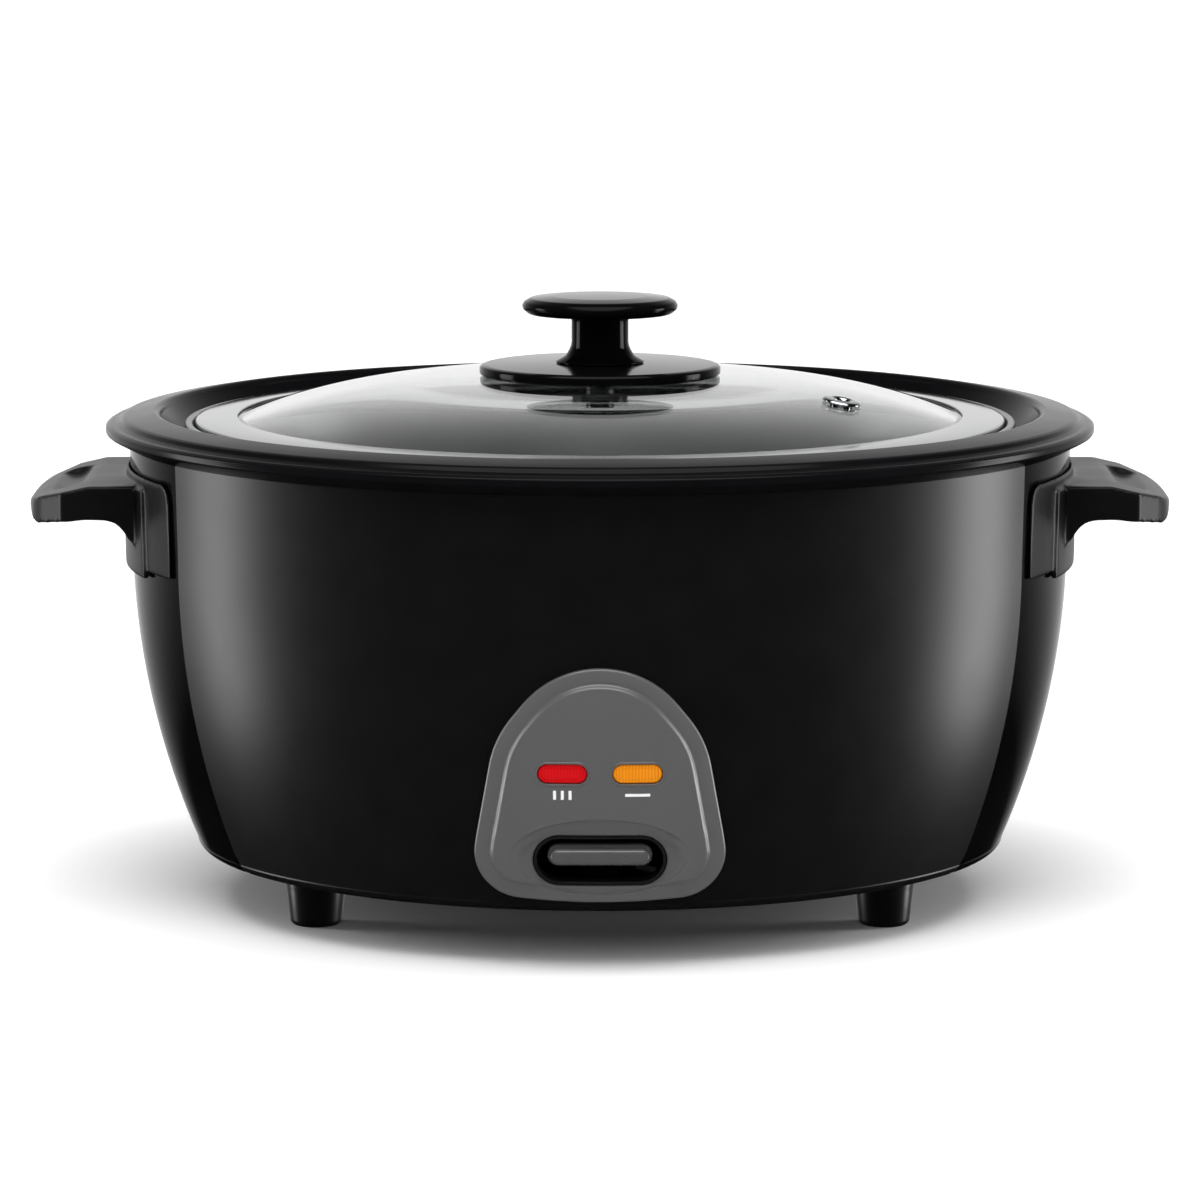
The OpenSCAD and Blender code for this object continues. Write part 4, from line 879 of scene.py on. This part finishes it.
def ray_radii(turn):
    """Distances from the hollow's middle at which a ray of the grid has its points."""
    c, s = math.cos(turn), math.sin(turn)

    def at(depth, less=0.0):
        return lambda far: depth(c * far, DISH_Z + s * far) - less

    start = solve(at(lambda x, z: -stadium_depth(x, z - SLOT_Z, SLOT_W, SLOT_H)), 0, 40)
    oval = solve(at(dish_depth), 0, 40)
    edge = solve(at(rim_depth), 0, 90)
    radii = [start + d for d in (0, 0.07, 0.22, 0.45, 0.75)]
    radii += [max(oval + d, start + 0.8) for d in (-0.9, -0.6, -0.3, 0, 0.2, 0.4, 0.6)]
    radii += [max(solve(at(rim_depth, inset), 0, 90), start + 0.8)
              for inset in (7, 6.7, 6.3, 5.9, 5.5, 5.1, 4.8)]
    radii += [edge - d for d in (1.05, 0.7, 0.4, 0.18, 0.05, 0)]
    radii += [start + 0.8 + (edge - start - 2) * k / 15 for k in range(1, 15)]
    return sorted(radii)


def panel_plate():
    """The plate laid flat: its front in the plane y = 0, its back in y = 1."""
    rays = [ray_radii(math.radians(k * 360 / RAYS)) for k in range(RAYS)]
    count = len(rays[0])

    def place(u, v):
        k = round(u * RAYS) % RAYS
        row = round(v * (count + 3)) % (count + 3)
        back = row >= count
        radius = rays[k][row] if not back else (
            rays[k][-1] + (rays[k][0] - rays[k][-1]) * (row - count) / 2)
        turn = math.radians(k * 360 / RAYS)
        return Vector((radius * math.cos(turn), 1 if back else 0,
                       DISH_Z + radius * math.sin(turn)))

    return wrapped(RAYS, count + 3, place)


def cut_through(bm, cutters):
    """Cuts closed shapes out of a closed shape with a Boolean modifier."""
    meshes = []
    for shape in (bm, cutters):
        mesh = bpy.data.meshes.new("shape")
        shape.to_mesh(mesh)
        shape.free()
        meshes.append(mesh)
    body, tool = (bpy.data.objects.new("shape", mesh) for mesh in meshes)
    for thing in (body, tool):
        bpy.context.scene.collection.objects.link(thing)
    cut = body.modifiers.new("cut", "BOOLEAN")
    cut.operation, cut.solver, cut.object = "DIFFERENCE", "EXACT", tool
    graph = bpy.context.evaluated_depsgraph_get()
    result = bmesh.new()
    result.from_object(body, graph)
    for thing in (body, tool):
        bpy.data.objects.remove(thing)
    for mesh in meshes:
        bpy.data.meshes.remove(mesh)
    return result


def window_tool(side):
    def place(u, v):
        x, z = stadium(u * math.tau, LENS_W + 0.4, LENS_H + 0.4, -3.4 * (v in (0, 1)))
        return Vector((side * LENS_X + x, -2 if v < 0.5 else 3, LENS_Z + z))

    return wrapped(64, 3, place)


def bezel(side):
    """The thin raised lip round a lamp window."""
    section = [(0.02, 3.3), (0.02, 4.05), (0.14, 4.2), (0.34, 4.26), (0.58, 4.2), (0.8, 3.98),
               (0.8, 3.3)]

    def place(u, v):
        out, high = section[round(v * len(section)) % len(section)]
        x, z = stadium(u * math.tau, LENS_W + 0.4, LENS_H + 0.4, out)
        return on_front(side * LENS_X + x, LENS_Z + z, high)

    return wrapped(72, len(section), place)


def control_panel():
    bm = cut_through(panel_plate(), joined([window_tool(-1), window_tool(1)]))
    for vert in bm.verts:
        x, y, z = vert.co
        vert.co = on_front(x, z, 0.1 if y > 0.5 else max(panel_height(x, z), 0.3))
    bm = joined([bm, bezel(-1), bezel(1)])
    return finish_piece(bm, "panel_plate", "casing", panel_grey, ["control_panel"], 50)


control_panel()

# %% Lamp windows, slot frame and key
def lens(name, side, finish):
    section = [(-3.3, -5.2), (0, -5.2), (0, 2.9), (-0.1, 3.2), (-0.32, 3.42), (-0.62, 3.52),
               (-0.9, 3.4), (-1.15, 3.38), (-1.4, 3.52), (-1.75, 3.62), (-3.3, 3.7)]

    def place(u, v):
        out, high = section[round(v * (len(section) - 1))]
        x, z = stadium(u * math.tau, LENS_W, LENS_H, out)
        return on_front(side * LENS_X + x, LENS_Z + z, high)

    bm = wrapped(72, len(section) - 1, place)
    return finish_piece(bm, name + "_window", "casing", finish, [name], 40)


def slot_frame():
    section = [(0, -9), (0, 0.55), (-0.1, 0.8), (-0.35, 0.9), (-0.85, 0.9), (-1.1, 0.8), (-1.2, 0.55),
               (-1.2, -9)]

    def place(u, v):
        out, high = section[round(v * len(section)) % len(section)]
        x, z = stadium(u * math.tau, SLOT_W - 0.4, SLOT_H - 0.4, out)
        return on_front(x, SLOT_Z + z, high)

    bm = wrapped(96, len(section), place)
    return finish_piece(bm, "slot_frame_ring", "casing", frame_abs, ["lever_frame"], 50)


def key():
    low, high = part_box("lever_key")
    tip, back, middle = low[1] / MM, high[1] / MM, (low[2] + high[2]) / 2 / MM
    width, height = (high[0] - low[0]) / MM, (high[2] - low[2]) / MM
    section = [(-height / 2, back), (-0.3, back), (0, back - 0.3), (0, tip + 5), (-0.25, tip + 4),
               (-0.65, tip + 3.3), (-0.8, tip + 2.6), (-0.85, tip + 1.6), (-1.05, tip + 0.9),
               (-1.45, tip + 0.35), (-2, tip + 0.08), (-2.5, tip), (-height / 2, tip)]

    def place(u, v):
        out, y = section[round(v * (len(section) - 1))]
        x, z = stadium(u * math.tau, width, height, out)
        return Vector((x, y, middle + z))

    bm = wrapped(96, len(section) - 1, place)
    return finish_piece(bm, "key_cap", "lever", key_grey, ["lever_key"], 50)


def marks():
    """Plain printed strokes under the lamps: three upright ones left, a long level one right."""
    strokes = [(-LENS_X + k * 2.6, 1.0, 3.2) for k in (-1, 0, 1)] + [(LENS_X, 8.4, 1.0)]
    bms = []
    for middle, width, height in strokes:
        bm = bmesh.new()
        bmesh.ops.create_cube(bm, size=1)
        bmesh.ops.subdivide_edges(bm, edges=bm.edges[:], cuts=4, use_grid_fill=True)
        for vert in bm.verts:
            x, y, z = vert.co
            vert.co = on_front(middle + x * width, MARK_Z + z * height, 4.02 - y * 0.06)
        bms.append(bm)
    return finish_piece(joined(bms), "lamp_marks", "casing", print_white)


lens("cook_lens", -1, red_window_painted_glow)
lens("warm_lens", 1, amber_window_painted_glow)
slot_frame()
key()
marks()

# %% [markdown]
# ## Handles
# Each handle is one thick phenolic moulding, so all its edges are soft. The solid is copied,
# merged, rebuilt as an even skin with a voxel Remesh, and then relaxed, which rounds every edge
# by a millimetre or two as a mould does.

# %% Handles
def handle(name):
    bm = bmesh.new()
    bm.from_mesh(parts[name].data)
    bmesh.ops.remove_doubles(bm, verts=bm.verts, dist=1e-6)
    bmesh.ops.scale(bm, vec=(1000, 1000, 1000), verts=bm.verts)
    piece = finish_piece(bm, name + "_moulding", "casing", handle_abs, [name], 180)
    skin = piece.modifiers.new("skin", "REMESH")
    skin.mode, skin.voxel_size, skin.use_smooth_shade = "VOXEL", 0.75 * MM, True
    relax = piece.modifiers.new("relax", "SMOOTH")
    relax.factor, relax.iterations = 0.5, 10
    return piece


handle("handle_left")
handle("handle_right")
